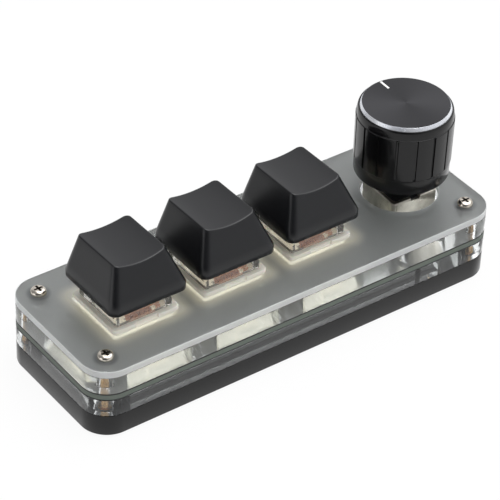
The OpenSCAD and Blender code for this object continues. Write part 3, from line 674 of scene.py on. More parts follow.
def thread_metal():
    """Rolled thread with a warm passivated film."""
    return grained("passivated_thread", "#b08a5e", 0.3, size=0.25, height=0.006,
                   rough=(0.22, 0.4), tints=("#8a6a48", "#c4a273"), Metallic=1.0)


def turned_brass():
    """Free-cutting brass, turned and knurled."""
    return grained("turned_brass", "#c69a4e", 0.26, size=0.2, height=0.006, rough=(0.2, 0.36),
                   tints=("#b88a42", "#d0a860"), Metallic=1.0)


def milky_nylon():
    """Moulded nylon, cream white, a little see-through at its edges, and a weak painted glow."""
    return grained("moulded_white_nylon_painted_glow", "#f6f4ea", 0.36, size=0.8, height=0.003,
                   rough=(0.3, 0.42), tints=("#f1eee1", "#faf9f2"), Subsurface_Weight=0.15,
                   # The emission is painted light: the nylon glows a little though it is no lamp
                   Subsurface_Scale=0.3 * MM, Emission_Color=to_linear("#f4ecd4"),
                   Emission_Strength=0.1)


def painted_glow_nylon():
    """Nylon walls below the plate, with a painted glow for light that the flange takes in."""
    return grained("nylon_walls_painted_glow", "#f6f4ea", 0.4, size=0.8, height=0.003,
                   rough=(0.34, 0.46), tints=("#f1eee1", "#faf9f2"),
                   Emission_Color=to_linear("#f4efdf"), Emission_Strength=0.55)


def clear_polycarbonate():
    """Moulded clear polycarbonate: a smoky tint and soft flow marks."""
    return grained("moulded_polycarbonate", "#f1f0e8", 0.05, size=1.2, height=0.01,
                   rough=(0.03, 0.09), IOR=1.58, Transmission_Weight=0.86)


def brown_acetal():
    """Moulded acetal stem: warm brown, waxy."""
    return grained("moulded_brown_acetal", "#6b3f28", 0.35, size=0.5, height=0.003,
                   rough=(0.3, 0.42), tints=("#63381f", "#764a30"))


def copper_strip():
    """Phosphor bronze strip, rolled and stamped."""
    return grained("rolled_phosphor_bronze", "#dc8850", 0.3, size=0.3, height=0.004,
                   rough=(0.22, 0.36), tints=("#d27c46", "#e89a64"), Metallic=0.7)


def spring_wire():
    """Drawn stainless wire with die marks along it."""
    return grained("drawn_stainless_wire", "#b9bbbd", 0.25, size=0.1, height=0.003,
                   rough=(0.2, 0.34), Metallic=1.0)


def teal_moulding():
    """Glass-filled polyester, teal, with a dry look."""
    return grained("glass_filled_polyester", "#1f8f92", 0.5, size=0.3, height=0.005,
                   rough=(0.42, 0.58), tints=("#1a8488", "#2a9c9d"))


def tinned_sheet():
    """Tin-plated steel sheet, folded: creamy grey, with a mottled reflow pattern."""
    # The reflowed tin has spots 0.3 to 0.5 mm across
    return grained("tin_plated_steel", "#dad6ca", 0.36, size=0.4, height=0.03, rough=(0.26, 0.5),
                   tints=("#a9a498", "#f6f2e6"), detail=6.0, Metallic=1.0)


def blackened_casting():
    """Die-cast zinc, blackened: matt with a fine tooth."""
    return grained("blackened_zinc_casting", "#2c2d2e", 0.5, size=0.3, height=0.008,
                   rough=(0.42, 0.6), tints=("#262728", "#343536"))


def turned_shaft():
    """Turned aluminium shaft with fine feed marks round it."""
    made, tree, shader = new_finish("turned_aluminium", "#c4c6c8", 0.3, Metallic=1.0)
    place = place_of(tree)
    split = add(tree, "ShaderNodeSeparateXYZ", {"Vector": place})
    # Feed marks 0.1 mm apart
    marks = add(tree, "ShaderNodeTexNoise", {"W": split.outputs["Z"], "Scale": 1 / 0.1},
                noise_dimensions="1D")
    bump = add(tree, "ShaderNodeBump", {"Height": marks.outputs["Fac"], "Distance": 0.006 * MM})
    tree.links.new(bump.outputs["Normal"], shader.inputs["Normal"])
    return made


def black_rubber():
    """Nitrile rubber: matt, slightly dusty."""
    return grained("nitrile_rubber", "#1c1c1e", 0.75, size=0.3, height=0.01, rough=(0.68, 0.85),
                   tints=("#18181a", "#242426"))


def chip_moulding():
    """Epoxy moulding compound of chips and sockets: charcoal, matt."""
    return grained("epoxy_moulding_compound", "#1d1e20", 0.55, size=0.15, height=0.004,
                   rough=(0.48, 0.64))


def fired_ceramic():
    """Fired ceramic of small capacitors and resistors: tan, matt."""
    return grained("fired_ceramic", "#a98a5e", 0.5, size=0.1, height=0.003, rough=(0.44, 0.6),
                   tints=("#9c7d52", "#b4966b"))


def lamp_resin():
    """Phosphor-filled resin of a white lamp: pale yellow, glossy."""
    return grained("phosphor_resin", "#f1e9b8", 0.2, size=0.2, height=0.003, rough=(0.14, 0.28))


# Pieces

def case_outline():
    """Outline of every sheet of the sandwich."""
    return rounded_loop(HALF_X, HALF_Y, CORNER_R, 20)


def screw_places():
    """Centres of the four screws."""
    return [(sx * (HALF_X - SCREW_INSET), sy * (HALF_Y - SCREW_INSET))
            for sx in (-1, 1) for sy in (-1, 1)]


def build_base(finish):
    """Black base with softly broken edges, which the feet and inserts sit in."""
    shell = sheet(case_outline(), [], Z_BASE, Z_LOWER - AIR)
    add_piece("black_base", shell, [finish], "case", ["base_plate"])


def build_lower_frame(clear, pressed):
    """Clear frame round the pockets under the board, open to the rear at the socket."""
    wall_y = HALF_Y - FRAME_WALL
    rib_x = KNOB_X - CAN_HALF - CAN_SIDE_GAP
    usb_half = node_size("usb_shell")[0] / 2 + USB_NOTCH_GAP
    left, right = FRAME_END - HALF_X, rib_x - FRAME_RIB
    inlet = np.array([
        (USB_X + usb_half, HALF_Y), (USB_X + usb_half, wall_y), (right, wall_y), (right, -wall_y),
        (left, -wall_y), (left, wall_y), (USB_X - usb_half, wall_y), (USB_X - usb_half, HALF_Y),
    ])
    outer = case_outline()
    rear = np.argmax(outer[:, 1] + 1e-6 * outer[:, 0])
    outline = np.concatenate([outer[:rear + 1], inlet, outer[rear + 1:]])
    step_x, end_x = KNOB_X - STEP_IN, KNOB_X + RELIEF_END
    pocket = np.array([
        (rib_x, -wall_y), (step_x, -wall_y), (step_x, -RELIEF_HALF), (end_x, -RELIEF_HALF),
        (end_x, RELIEF_HALF), (step_x, RELIEF_HALF), (step_x, wall_y), (rib_x, wall_y),
    ])
    holes = [pocket] + [circle(LENS_HOLE_R, 64) + spot for spot in screw_places()]
    shell = sheet(outline, holes, Z_LOWER + AIR, Z_BOARD - AIR, 0.06, (1, 0, 1))
    add_piece("lower_clear_frame", shell, [clear, pressed], "case",
              ["lower_frame"])


def build_upper_frame(clear, pressed):
    """Clear frame with an opening round each switch and round the encoder."""
    opening = rounded_loop(FRAME_OPENING / 2, FRAME_OPENING / 2, OPENING_R, 3)
    holes = [opening + [KEY_X[k], 0.0] for k in KEYS]
    holes += [circle(FRAME_HOLE_R) + [KNOB_X, 0.0]]
    holes += [circle(SCREW_HOLE_R, 48) + spot for spot in screw_places()]
    shell = sheet(case_outline(), holes, Z_UPPER + AIR, Z_PLATE - AIR, 0.06, (1, 0, 1))
    add_piece("upper_clear_frame", shell, [clear, pressed], "case",
              ["upper_frame"])


def build_top_plate(frosted, clear, sawn):
    """Top plate: sanded above, sawn at its rims and polished below."""
    opening = rounded_loop(PLATE_OPENING / 2, PLATE_OPENING / 2, OPENING_R, 3)
    holes = [opening + [KEY_X[k], 0.0] for k in KEYS]
    holes += [(circle(PLATE_HOLE_R, 128) + [KNOB_X, 0.0], HOLE_EDGE)]
    holes += [circle(SCREW_HOLE_R, 48) + spot for spot in screw_places()]
    shell = sheet(case_outline(), holes, Z_PLATE, Z_TOP, SHEET_EDGE, (1, 2, 0))
    add_piece("frosted_top_plate", shell, [frosted, clear, sawn], "case",
              ["top_plate"])


def screw_head():
    """Domed head with a cross recess.

    Height is a function of radius, flat in the middle and falling along an ellipse at the edge,
    less a depth where the point lies inside either bar of the cross. The recess has a dark finish
    of its own, painted shade, on the faces whose middle lies well inside a bar.
    """
    half_l, half_w, depth = CROSS_SLOT
    ramp = 0.07
    crown = HEAD_R - 0.5 * np.cos(np.radians(np.linspace(0, 90, 8)))
    radii = np.concatenate([np.linspace(0.04, 1.15, 34), crown])
    loop = circle(1.0, 144)

    def cross(points):
        x, y = np.abs(points[:, 0]), np.abs(points[:, 1])
        bars = [np.clip((half_l - a) / ramp, 0, 1) * np.clip((half_w - b) / ramp, 0, 1)
                for a, b in ((x, y), (y, x))]
        return np.maximum(*bars)

    rings = [at_level(loop * (HEAD_R - 0.1), Z_TOP), at_level(loop * HEAD_R, Z_TOP + 0.12)]
    for r in radii[::-1]:
        edge = np.clip((r - 0.8) / (HEAD_R - 0.8), 0, 1)
        height = HEAD_H * (0.35 + 0.65 * np.sqrt(1 - edge ** 2)) - 0.05 * (r / HEAD_R) ** 2
        rings.append(at_level(loop * r, Z_TOP + height - depth * cross(loop * r)))
    points, faces, _ = skin(rings)
    middles = points[np.where(faces >= 0, faces, faces[:, :1])].mean(axis=1)
    return points, faces, np.where(cross(middles) > 0.3, 2, 0)


def screw_shank():
    """Threaded shank: the radius is a triangle wave of height less angle along the pitch."""
    low = node_box("case_screws")[0][2]
    z = np.arange(low, Z_TOP + 0.15, THREAD_PITCH / 6)
    turn = np.linspace(0, 1, 32, endpoint=False)
    phase = (z[:, None] / THREAD_PITCH - turn[None, :]) % 1
    radius = SHANK_R - THREAD_IN * np.clip(1.25 - np.abs(2 * phase - 1) * 1.5, 0, 1)
    angle = turn * 2 * np.pi
    rings = np.stack([radius * np.cos(angle), radius * np.sin(angle),
                      np.broadcast_to(z[:, None], radius.shape)], axis=-1)
    return skin(rings, 1)


def build_screws(nickel, thread, recess):
    """Four screws through the corners."""
    screw = join(screw_head(), screw_shank())
    shell = join(*[moved(screw, (x, y, 0)) for x, y in screw_places()])
    add_piece("cross_recess_screws", shell, [nickel, thread, recess], "case",
              ["case_screws"], sharp=30)


def cap_hollow(half, height, middle, arc, side):
    """Loops of a keycap's inside, from its ceiling down to its foot."""
    share = (CAP_CEILING - CAP_SKIRT) / (height - CAP_SKIRT)
    inner, shift, r = half - CAP_WALL, middle * share, CAP_FOOT_ROUND
    ceiling = rounded_loop(inner - (half - CAP_TOP_W / 2) * share,
                           inner - (CAP_FRONT_IN + CAP_REAR_IN) / 2 * share,
                           0.8, arc, side) + shift
    hollow = rounded_loop(inner, inner, 0.9, arc, side)
    return [at_level(ceiling * 0.98 + shift * 0.02, CAP_CEILING), at_level(ceiling, CAP_CEILING),
            at_level(hollow, CAP_SKIRT), at_level(hollow, r / 2),
            at_level(inset(hollow, -r / 2), 0)]


def keycap_shell():
    """Sculpted keycap about its own centre, from its base.

    The wall is a straight line from a rounded square at the skirt to a smaller one at the top.
    The top is a cylinder that lies front to rear, and the wall ends where it meets it, which a
    few steps of substitution find. A curve through the wall, that meeting point and the top
    rounds the rim.
    """
    half, height = node_size("key_1_cap")[[0, 2]] / [2, 1]
    arc, side = 8, 18
    depth_half = half - (CAP_FRONT_IN + CAP_REAR_IN) / 2
    middle = np.array([0, (CAP_FRONT_IN - CAP_REAR_IN) / 2])
    foot = rounded_loop(half, half, CAP_R, arc, side)
    top = rounded_loop(CAP_TOP_W / 2, depth_half, CAP_TOP_R, arc, side) + middle
    dish_r = ((CAP_TOP_W / 2) ** 2 + CAP_DISH ** 2) / (2 * CAP_DISH)

    def plane(y):
        return height - (y - CAP_FRONT_IN + half) * CAP_DROP / (2 * depth_half)

    def dish(p):
        return plane(p[..., 1]) - CAP_DISH + dish_r - np.sqrt(dish_r ** 2 - p[..., 0] ** 2)

    def wall(t):
        flat = foot + (top - foot) * t[:, None]
        return np.column_stack([flat, CAP_SKIRT + (plane(top[:, 1]) - CAP_SKIRT) * t])

    t = np.ones(len(foot))
    for _ in range(12):
        t = (dish(wall(t)[:, :2]) - CAP_SKIRT) / (plane(top[:, 1]) - CAP_SKIRT)
    corner = wall(t)
    length = np.linalg.norm(corner - wall(t * 0), axis=1)
    below = wall(t * (1 - CAP_ROUND / length))

    def top_at(share):
        flat = corner[:, :2] + (middle - corner[:, :2]) * np.reshape(share, (-1, 1))
        return np.column_stack([flat, dish(flat)])

    reach = np.linalg.norm(corner[:, :2] - middle, axis=1)
    beyond = top_at(CAP_ROUND / reach)
    curve = [below * (1 - s) ** 2 + 2 * corner * s * (1 - s) + beyond * s ** 2
             for s in np.linspace(0, 1, 6)]
    walls = [wall(t * (1 - CAP_ROUND / length) * s) for s in np.linspace(0, 1, 6)[:-1]]
    tops = [top_at(np.full(len(foot), s)) for s in np.linspace(0.08, 0.98, 14)]
    r = CAP_FOOT_ROUND
    edge = [at_level(inset(foot, r), 0), at_level(inset(foot, r * 0.3), r * 0.3),
            at_level(foot, r)]
    inside = cap_hollow(half, height, middle, arc, side)
    return join(skin(inside + edge + walls + curve + tops), cap_socket())


def cap_socket():
    """Round post under the top of a keycap, with a cross-shaped socket.

    The socket's radius at an angle is the farther of its two bars' edges.
    """
    turn = np.radians(np.arange(0, 360, 3) + 1.5)
    c, s = np.abs(np.cos(turn)), np.abs(np.sin(turn))
    long, wide = CROSS_L / 2, CROSS_W / 2
    reach = np.maximum(np.minimum(long / c, wide / s), np.minimum(wide / c, long / s))
    unit = np.stack([np.cos(turn), np.sin(turn)], axis=-1)
    cross, post = unit * reach[:, None], unit * SOCKET_R
    end = SOCKET_LIFT + CROSS_IN
    return skin([at_level(cross, end), at_level(cross, SOCKET_LIFT),
                 at_level(post, SOCKET_LIFT), at_level(post, CAP_CEILING + 0.3)])


def build_keycaps(finish):
    """Three keycaps, each on its own key."""
    shell = keycap_shell()
    for k in KEYS:
        z = node_box(f"key_{k}_cap")[0][2]
        add_piece(f"sculpted_cap_{k}", moved(shell, (KEY_X[k], 0, z)), [finish], f"key_{k}",
                  [f"key_{k}_cap"], sharp=50)


def lower_housing_shell():
    """Lower switch housing about its own centre, in one skin: post, box, flange and hollow."""
    half = node_size("switch_1_lower_housing")[0] / 2
    z_post = node_box("switch_1_lower_housing")[0][2]
    z_box, z_flange = Z_UPPER + HOUSING_LIFT, Z_TOP + FLANGE_T
    z_floor = z_box + HOUSING_FLOOR
    marks = [(-NOTCH_HALF - 0.05, 0), (-NOTCH_HALF + 0.05, 1),
             (NOTCH_HALF - 0.05, 1), (NOTCH_HALF + 0.05, 0)]

    def square(size, radius, z, notch=0.0):
        loop, group = marked_loop(size, size, radius, marks)
        loop[:, 1] -= np.sign(loop[:, 1]) * notch * (group == 1)
        return at_level(loop, z)

    def disc(radius, z):
        turn = np.arctan2(*rounded_loop(1, 1, 0.97, 6, 4).T[::-1])
        return at_level(radius * np.stack([np.cos(turn), np.sin(turn)], axis=-1), z)

    hollow = HOUSING_HALF - HOUSING_WALL
    outer = [disc(POST_R - 0.2, z_post), disc(POST_R, z_post + 0.2), disc(POST_R, z_box),
             square(HOUSING_HALF - 0.2, 0.3, z_box), square(HOUSING_HALF, 0.4, z_box + 0.2),
             square(HOUSING_HALF, 0.4, Z_TOP + AIR), square(half - 0.1, FLANGE_R, Z_TOP + AIR),
             square(half, FLANGE_R, Z_TOP + 0.1), square(half, FLANGE_R, Z_TOP + 0.2),
             square(half, FLANGE_R, Z_TOP + 0.25, NOTCH_IN),
             square(half, FLANGE_R, z_flange - 0.16, NOTCH_IN),
             square(half - 0.06, FLANGE_R, z_flange - 0.05, NOTCH_IN - 0.04),
             square(half - 0.17, FLANGE_R - 0.1, z_flange, NOTCH_IN - 0.06),
             square(half - 0.22, FLANGE_R - 0.1, z_flange, NOTCH_IN - 0.06)]
    inner = [square(hollow + 0.1, 0.3, z_flange), square(hollow, 0.3, z_flange - 0.1),
             square(hollow, 0.3, z_floor), disc(POLE_BORE_R + 0.1, z_floor),
             disc(POLE_BORE_R, z_floor - 0.1), disc(POLE_BORE_R, z_floor - POLE_BORE_IN)]
    clips = facing_blocks(HOUSING_HALF - CLIP_SUNK, HOUSING_HALF + CLIP_OUT, CLIP_W / 2,
                          Z_PLATE - CLIP_H, Z_PLATE - AIR, (0.15, 0.08))
    points, faces, paints = join(skin(outer + inner), *clips)
    # Walls between the box and the plate take the second finish, the one with a painted glow
    tops = points[np.where(faces >= 0, faces, faces[:, :1]), 2].max(axis=1)
    return points, faces, np.where((tops < Z_TOP + 2 * AIR) & (tops > z_box), 1, 0)


def upper_housing_shell():
    """Clear upper housing about its own centre, in one wall: foot, hood and roof opening."""
    z_low = Z_TOP + FLANGE_T + AIR
    low, high = node_box("switch_1_upper_housing")
    half, z_roof = (high - low)[0] / 2, high[2]
    z_foot = z_low + UPPER_FOOT
    roof = ROOF_W / 2
    open_x, open_y = ROOF_OPENING[0] / 2, ROOF_OPENING[1] / 2

    def square(size, radius, z):
        return at_level(rounded_loop(size, size, radius, 4), z)

    def mouth(grow, z):
        return at_level(rounded_loop(open_x + grow, open_y + grow, 0.4, 4), z)

    w = UPPER_WALL
    rings = [square(half - 0.08, 0.5, z_low), square(half, 0.5, z_low + 0.08),
             square(half, 0.5, z_foot - 0.08), square(half - 0.05, 0.5, z_foot),
             square(roof + 0.03, 0.6, z_roof - 0.2), square(roof - 0.04, 0.6, z_roof - 0.06),
             square(roof - 0.2, 0.5, z_roof), mouth(0.1, z_roof), mouth(0, z_roof - 0.1),
             mouth(0, z_roof - w + 0.1), mouth(0.1, z_roof - w),
             square(roof - w, 0.4, z_roof - w), square(half - w, 0.4, z_foot),
             square(half - w, 0.4, z_low)]
    return skin(rings, wrap=True)


def spring_shell():
    """Coil spring about its own axis: a helix whose first and last turn lie flat."""
    low, high = node_box("key_1_spring")
    turn = np.linspace(0, 1, SPRING_TURNS * 32 + 1)
    flat = 1 / SPRING_TURNS
    climb = np.clip((turn - flat * 0.75) / (1 - flat * 1.5), 0, 1)
    climb = climb + 0.03 * (turn - climb)
    z = low[2] + WIRE_R + (high[2] - low[2] - 2 * WIRE_R) * climb
    angle = 2 * np.pi * SPRING_TURNS * turn
    return tube(np.column_stack([SPRING_R * np.cos(angle), SPRING_R * np.sin(angle), z]), WIRE_R)


def shorten(piece):
    """Give a piece a mesh of its own."""
    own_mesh(piece)


def build_switches(nylon, painted_glow, clear, wire):
    """Three switches: housings and springs ride on the case."""
    lower, upper, spring = lower_housing_shell(), upper_housing_shell(), spring_shell()
    for k in KEYS:
        place = (KEY_X[k], 0, 0)
        add_piece(f"milky_housing_{k}", moved(lower, place), [nylon, painted_glow], "case",
                  [f"switch_{k}_lower_housing"])
        add_piece(f"clear_housing_{k}", moved(upper, place), [clear], "case",
                  [f"switch_{k}_upper_housing"])
        piece = add_piece(f"return_spring_{k}", moved(spring, place), [wire], "case",
                          [f"key_{k}_spring"])
        shorten(piece)


def can_shell():
    """Folded can about its own axis, with an open top, two legs and two tabs.

    Each level is a rounded square. Its seams are cut inwards near the ends of the front and the
    rear, and its slots are points whose height is held down in the middle of those sides.
    """
    leg_low, z_high = (corner[2] for corner in node_box("encoder_can"))
    tab_low, z_low = (corner[2] for corner in node_box("encoder_base"))
    slot_half, slot_h = CAN_SLOT
    seam_x, seam_w, seam_in = CAN_SEAM
    cuts = [(x + seam_w * step, 2 if abs(step) < 1 else 0) for x in (-seam_x, seam_x)
            for step in (-1, -0.5, 0.5, 1)]
    slot = [(side * slot_half + step, int(side * step < 0)) for side in (-1, 1)
            for step in (-0.04, 0.04)]
    marks = cuts[:4] + slot + cuts[4:]

    def ring(depth, z, seam=0.0):
        outer, group = marked_loop(CAN_HALF, CAN_HALF, CAN_R, marks)
        loop = outer * (1 - depth / CAN_HALF)
        loop[:, 1] -= np.sign(loop[:, 1]) * seam * (group == 2)
        return at_level(loop, np.where(group == 1, np.minimum(z, z_high - slot_h), z))

    fold = np.radians(np.linspace(0, 90, 5))
    outside = [ring(0, z_low, seam_in), ring(0, z_high - slot_h - 0.02, seam_in)]
    outside += [ring(CAN_FOLD * (1 - math.cos(a)), z_high - CAN_FOLD * (1 - math.sin(a)),
                     seam_in * math.cos(a)) for a in fold]
    inside = [ring(CAN_RIM - 0.05, z_high), ring(CAN_RIM, z_high - 0.05),
              ring(CAN_RIM, z_high - CAN_WALL), ring(CAN_WALL, z_high - CAN_WALL),
              ring(CAN_WALL, z_low)]
    ends = (CAN_HALF - CAN_WALL, CAN_HALF)
    legs = facing_blocks(*ends, CAN_LEG_W / 2, leg_low, z_low + 0.1, (0.1, 0.06), axis=0)
    tabs = facing_blocks(*ends, CAN_TAB_W / 2, tab_low + TAB_REST, z_low + 0.1, (0.1, 0.06))
    return join(skin(outside + inside, wrap=True), *legs, *tabs)


def dome_shell():
    """Snap dome about its own axis: two parabolas of the radius, one thickness apart."""
    low, high = node_box("encoder_dome")
    radius, rise = (high - low)[0] / 2, high[2] - low[2]
    shares = np.linspace(0.02, 1, 12)
    under = [(s * radius, low[2] + (rise - DOME_T) * (1 - s * s)) for s in shares]
    over = [(r, z + DOME_T) for r, z in under[::-1]]
    return lathe(under + over, 64)


def build_encoder(tin, dome_metal):
    """Folded can, and the snap dome under the plunger."""
    add_piece("folded_can", on_encoder(can_shell()), [tin], "case",
              ["encoder_can"])
    dome = add_piece("snap_dome", moved(dome_shell(), (KNOB_X, 0, 0)), [dome_metal], "case",
                     ["encoder_dome"])
    shorten(dome)


def knob_section():
    """Angles round the knob, and for each of them how deep it lies in a groove, from 0 to 1.

    The angles crowd together at the edges of a groove, where its depth is a smooth step.
    """
    step = 360 / GROOVES
    offsets = np.degrees(np.array([0.1, 0.17, 0.215, 0.26, 0.31, 0.42, 0.8, 1.4]) / KNOB_R)
    sector = np.concatenate([-offsets[::-1], offsets, [step / 2]])
    turn = np.radians((np.arange(GROOVES)[:, None] * step + sector).reshape(-1))
    across = np.radians(np.abs((np.degrees(turn) + step / 2) % step - step / 2)) * KNOB_R
    groove = np.clip((GROOVE_W / 2 + 0.05 - across) / 0.1, 0, 1)
    return turn, groove * groove * (3 - 2 * groove)


def knob_inside(turn, z_low, z_ceiling):
    """Rows from the end of the bore, with its flat at the rear, down the boss and to the foot."""
    z_bore = node_box("encoder_shaft")[1][2] + BORE_TOP
    flat_low = z_bore - BORE_TOP - SHAFT_FLAT_L
    bore_r, flat = SHAFT_R + BORE_GAP, SHAFT_R - FLAT_IN + BORE_GAP
    high_side = np.sin(turn) > flat / bore_r
    keyed = np.where(high_side, flat / np.maximum(np.sin(turn), 0.1), bore_r)
    z_boss, inner_r = z_low + BOSS_LIFT, KNOB_FOOT_R - KNOB_WALL
    return [(0.4, z_bore), (keyed, z_bore), (keyed, flat_low), (bore_r, flat_low),
            (bore_r, z_boss + 0.15), (bore_r + 0.15, z_boss), (BOSS_R - 0.15, z_boss),
            (BOSS_R, z_boss + 0.15), (BOSS_R, z_ceiling), (inner_r, z_ceiling),
            (inner_r, z_low + 0.15), (inner_r + 0.15, z_low)]


def knob_outside(z_low, z_edge):
    """Rows from foot to lip: a taper, raised for the grip pads, and an elliptic shoulder."""
    shoulder_r, lip_r = KNOB_R - PAD_OUT, RING_R + LIP_T
    z_pad, z_shoulder = z_low + SKIRT_H, z_edge - SHOULDER_H

    def taper(z):
        return KNOB_FOOT_R + (shoulder_r - KNOB_FOOT_R) * (z - z_low) / (z_shoulder - z_low)

    # Heights near each end of a pad, with the share of its rise and of the groove's depth
    ends = [(-0.02, 0.0, 0.0), (0.0, 0.06, 0.0), (0.02, 0.55, 0.1), (0.06, 0.85, 0.3),
            (0.12, 0.97, 0.5), (0.2, 1.0, 0.75), (0.35, 1.0, 1.0)]
    pads = [(z_pad + d, rise, cut) for d, rise, cut in ends]
    pads += [(z, 1.0, 1.0) for z in np.linspace(z_pad + 1.5, z_shoulder - 1.5, 6)]
    pads += [(z_shoulder - d, rise, cut) for d, rise, cut in ends[::-1]]
    rows = [(KNOB_FOOT_R - 0.25, z_low), (KNOB_FOOT_R - 0.08, z_low + 0.07),
            (KNOB_FOOT_R, z_low + 0.25), (taper(z_pad - 0.3), z_pad - 0.3)]
    rows += [(taper(z) + PAD_OUT * rise, z, GROOVE_IN * cut) for z, rise, cut in pads]
    rows += [(lip_r + (shoulder_r - lip_r) * math.cos(a), z_shoulder + SHOULDER_H * math.sin(a))
             for a in np.radians(np.linspace(6, 90, 10))]
    return rows


def knob_body_shell():
    """Knob body about its own axis, in one skin: inside, outside and the recess of its cap.

    Each row is a radius, or one for each angle, a height, and the depth of the grooves there.
    """
    low, high = node_box("knob_body")
    z_low, z_edge = low[2], high[2] - EDGE_DROP
    z_cap, recess_r = node_box("knob_cap")[0][2], RING_R + 0.04
    turn, groove = knob_section()
    unit = np.stack([np.cos(turn), np.sin(turn)], axis=-1)

    def ring(r, z, cut=0.0):
        return at_level(unit * (np.broadcast_to(r, len(turn)) - cut * groove)[:, None], z)

    top = [(recess_r + 0.03, z_edge), (recess_r, z_edge - 0.03), (recess_r, z_cap), (0.4, z_cap)]
    rows = knob_inside(turn, z_low, z_edge - KNOB_ROOF) + knob_outside(z_low, z_edge) + top
    return skin([ring(*row) for row in rows])


def knob_cap_shell():
    """Aluminium cap about its own axis: rim, bright chamfer, and a flat top."""
    low, high = node_box("knob_cap")
    z_low, z_high = low[2], high[2] - AIR
    z_rim = z_high - RING_H
    profile = [(0.3, z_low), (RING_R - 0.1, z_low), (RING_R, z_low + 0.1), (RING_R, z_rim - 0.04),
               (RING_R - 0.02, z_rim), (DISC_R + 0.04, z_high - 0.03), (DISC_R, z_high),
               (DISC_R - 0.06, z_high)]
    profile += [(r, z_high) for r in np.linspace(DISC_R - 1, 0.3, 8)]
    bright = [0, 0, 0, 1, 1, 1, 0] + [0] * 8
    return lathe(profile, 192, bright)


def build_knob(plastic, disc, bright, paint):
    """Knob body, its cap and the pointer line near the rear edge."""
    add_piece("gripped_knob_body", on_encoder(knob_body_shell()), [plastic], "knob",
              ["knob_body"], sharp=38)
    add_piece("turned_knob_cap", moved(knob_cap_shell(), (KNOB_X, 0, 0)), [disc, bright], "knob",
              ["knob_cap"], sharp=20)
    low, high = node_box("knob_pointer")
    half_w, near, far = POINTER
    shell = soft_block((-half_w, near, low[2]), (half_w, far, high[2]), 0.12, 0.02)
    add_piece("pointer_line", on_encoder(shell), [paint], "knob",
              ["knob_pointer"])


def build_socket(metal):
    """Drawn socket shell: a rounded cup that lies on its side with its mouth to the rear."""
    low, high = node_box("usb_shell")
    half_x, half_z = (high - low)[[0, 2]] / 2
    length = (high - low)[1]
    wall, back, r = USB_WALL, USB_BACK, USB_R

    def ring(d, z):
        return at_level(rounded_loop(half_x - d, half_z - d, r - d, 8), z)

    rings = [ring(wall + 0.05, length - back), ring(wall, length - back - 0.05), ring(wall, 0.08),
             ring(wall * 0.7, 0), ring(wall * 0.3, 0), ring(0, 0.08), ring(0, length - 0.3),
             ring(0.1, length - 0.08), ring(0.3, length)]
    points, faces, paints = skin(rings)
    x, y, z = points.T
    placed = np.column_stack([x + USB_X, high[1] - z, y + (low[2] + high[2]) / 2])
    add_piece("drawn_socket_shell", (placed, faces, paints), [metal], "case",
              ["usb_shell"])


def dress_cad_nodes(nickel, nylon, tin):
    """Give each CAD node that stays as it is its material."""
    chip, bronze, stem = chip_moulding(), copper_strip(), brown_acetal()
    kept = {
        "rubber_feet": black_rubber(), "circuit_board": board_laminate(),
        "threaded_inserts": turned_brass(), "controller_chip": chip, "clock_crystal": nickel,
        "voltage_regulator": chip, "board_passives": fired_ceramic(), "key_leds": lamp_resin(),
        "usb_tongue": chip, "encoder_base": teal_moulding(),
        "encoder_bushing": blackened_casting(), "encoder_terminals": tin,
        "encoder_rotor": nylon, "encoder_plunger": nylon, "encoder_shaft": turned_shaft(),
    }
    for k in KEYS:
        kept[f"switch_{k}_contacts"] = bronze
        kept[f"key_{k}_stem"] = stem
    for name, finish in kept.items():
        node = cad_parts[name]
        node.data.materials.clear()
        node.data.materials.append(finish)


# Studio

# White share of the floor's picture, light of the room, and each panel's direction, angles in
# degrees and strength. The last one is the dark side where the camera stands, which takes light.
FLOOR_WHITE = 0.94
ROOM_LEVEL = 0.29
PANELS = [
    ((0.42, -0.1, 0.88), (8, 50), 1.9),
    ((0.5, 0.72, 0.35), (25, 62), 0.42),
    ((-1.0, 0.02, 0.14), (8, 24), 1.2),
    ((0.55, -0.83, 0.12), (10, 40), 0.42),
    ((-0.66, -0.66, 0.22), (14, 36), -0.26),
]
LAMP_PLACE = (0.1, -0.1, 1.0)
LAMP_SIZE = (0.7, 0.7)
LAMP_WATTS = 4

# Camera, solved from the photograph: turn, height and roll in degrees, metres and millimetres
CAMERA_ANGLES = (-37.531, 37.438, 2.445)
CAMERA_PLACE = (-0.26371, -0.34091, 0.34574)
CAMERA_LENS = 191.74


def build_floor():
    """Pale floor that keeps the part's shadow and is white to the camera, gloss and glass."""
    side = 3.0
    mesh = bpy.data.meshes.new("studio_floor")
    mesh.from_pydata([(x * side, y * side, 0) for x, y in ((-1, -1), (1, -1), (1, 1), (-1, 1))],
                     [], [(0, 1, 2, 3)])
    floor = new_object("studio_floor", mesh)
    made = bpy.data.materials.new("white_paper")
    made.use_nodes = True
    tree = made.node_tree
    tree.nodes.clear()
    rays = add(tree, "ShaderNodeLightPath")
    seen = add(tree, "ShaderNodeMath", {0: rays.outputs["Is Camera Ray"],
                                        1: rays.outputs["Is Glossy Ray"]}, operation="MAXIMUM")
    seen = add(tree, "ShaderNodeMath", {0: seen.outputs[0],
                                        1: rays.outputs["Is Transmission Ray"]},
               operation="MAXIMUM")
    share = add(tree, "ShaderNodeMath", {0: seen.outputs[0], 1: FLOOR_WHITE},
                operation="MULTIPLY")
    paper = add(tree, "ShaderNodeBsdfDiffuse", {"Color": to_linear("#f2f2f2")})
    white = add(tree, "ShaderNodeEmission", {"Color": (1, 1, 1, 1), "Strength": 1.0})
    both = add(tree, "ShaderNodeMixShader", {0: share.outputs[0], 1: paper.outputs[0],
                                             2: white.outputs[0]})
    add(tree, "ShaderNodeOutputMaterial", {"Surface": both.outputs[0]})
    mesh.materials.append(made)


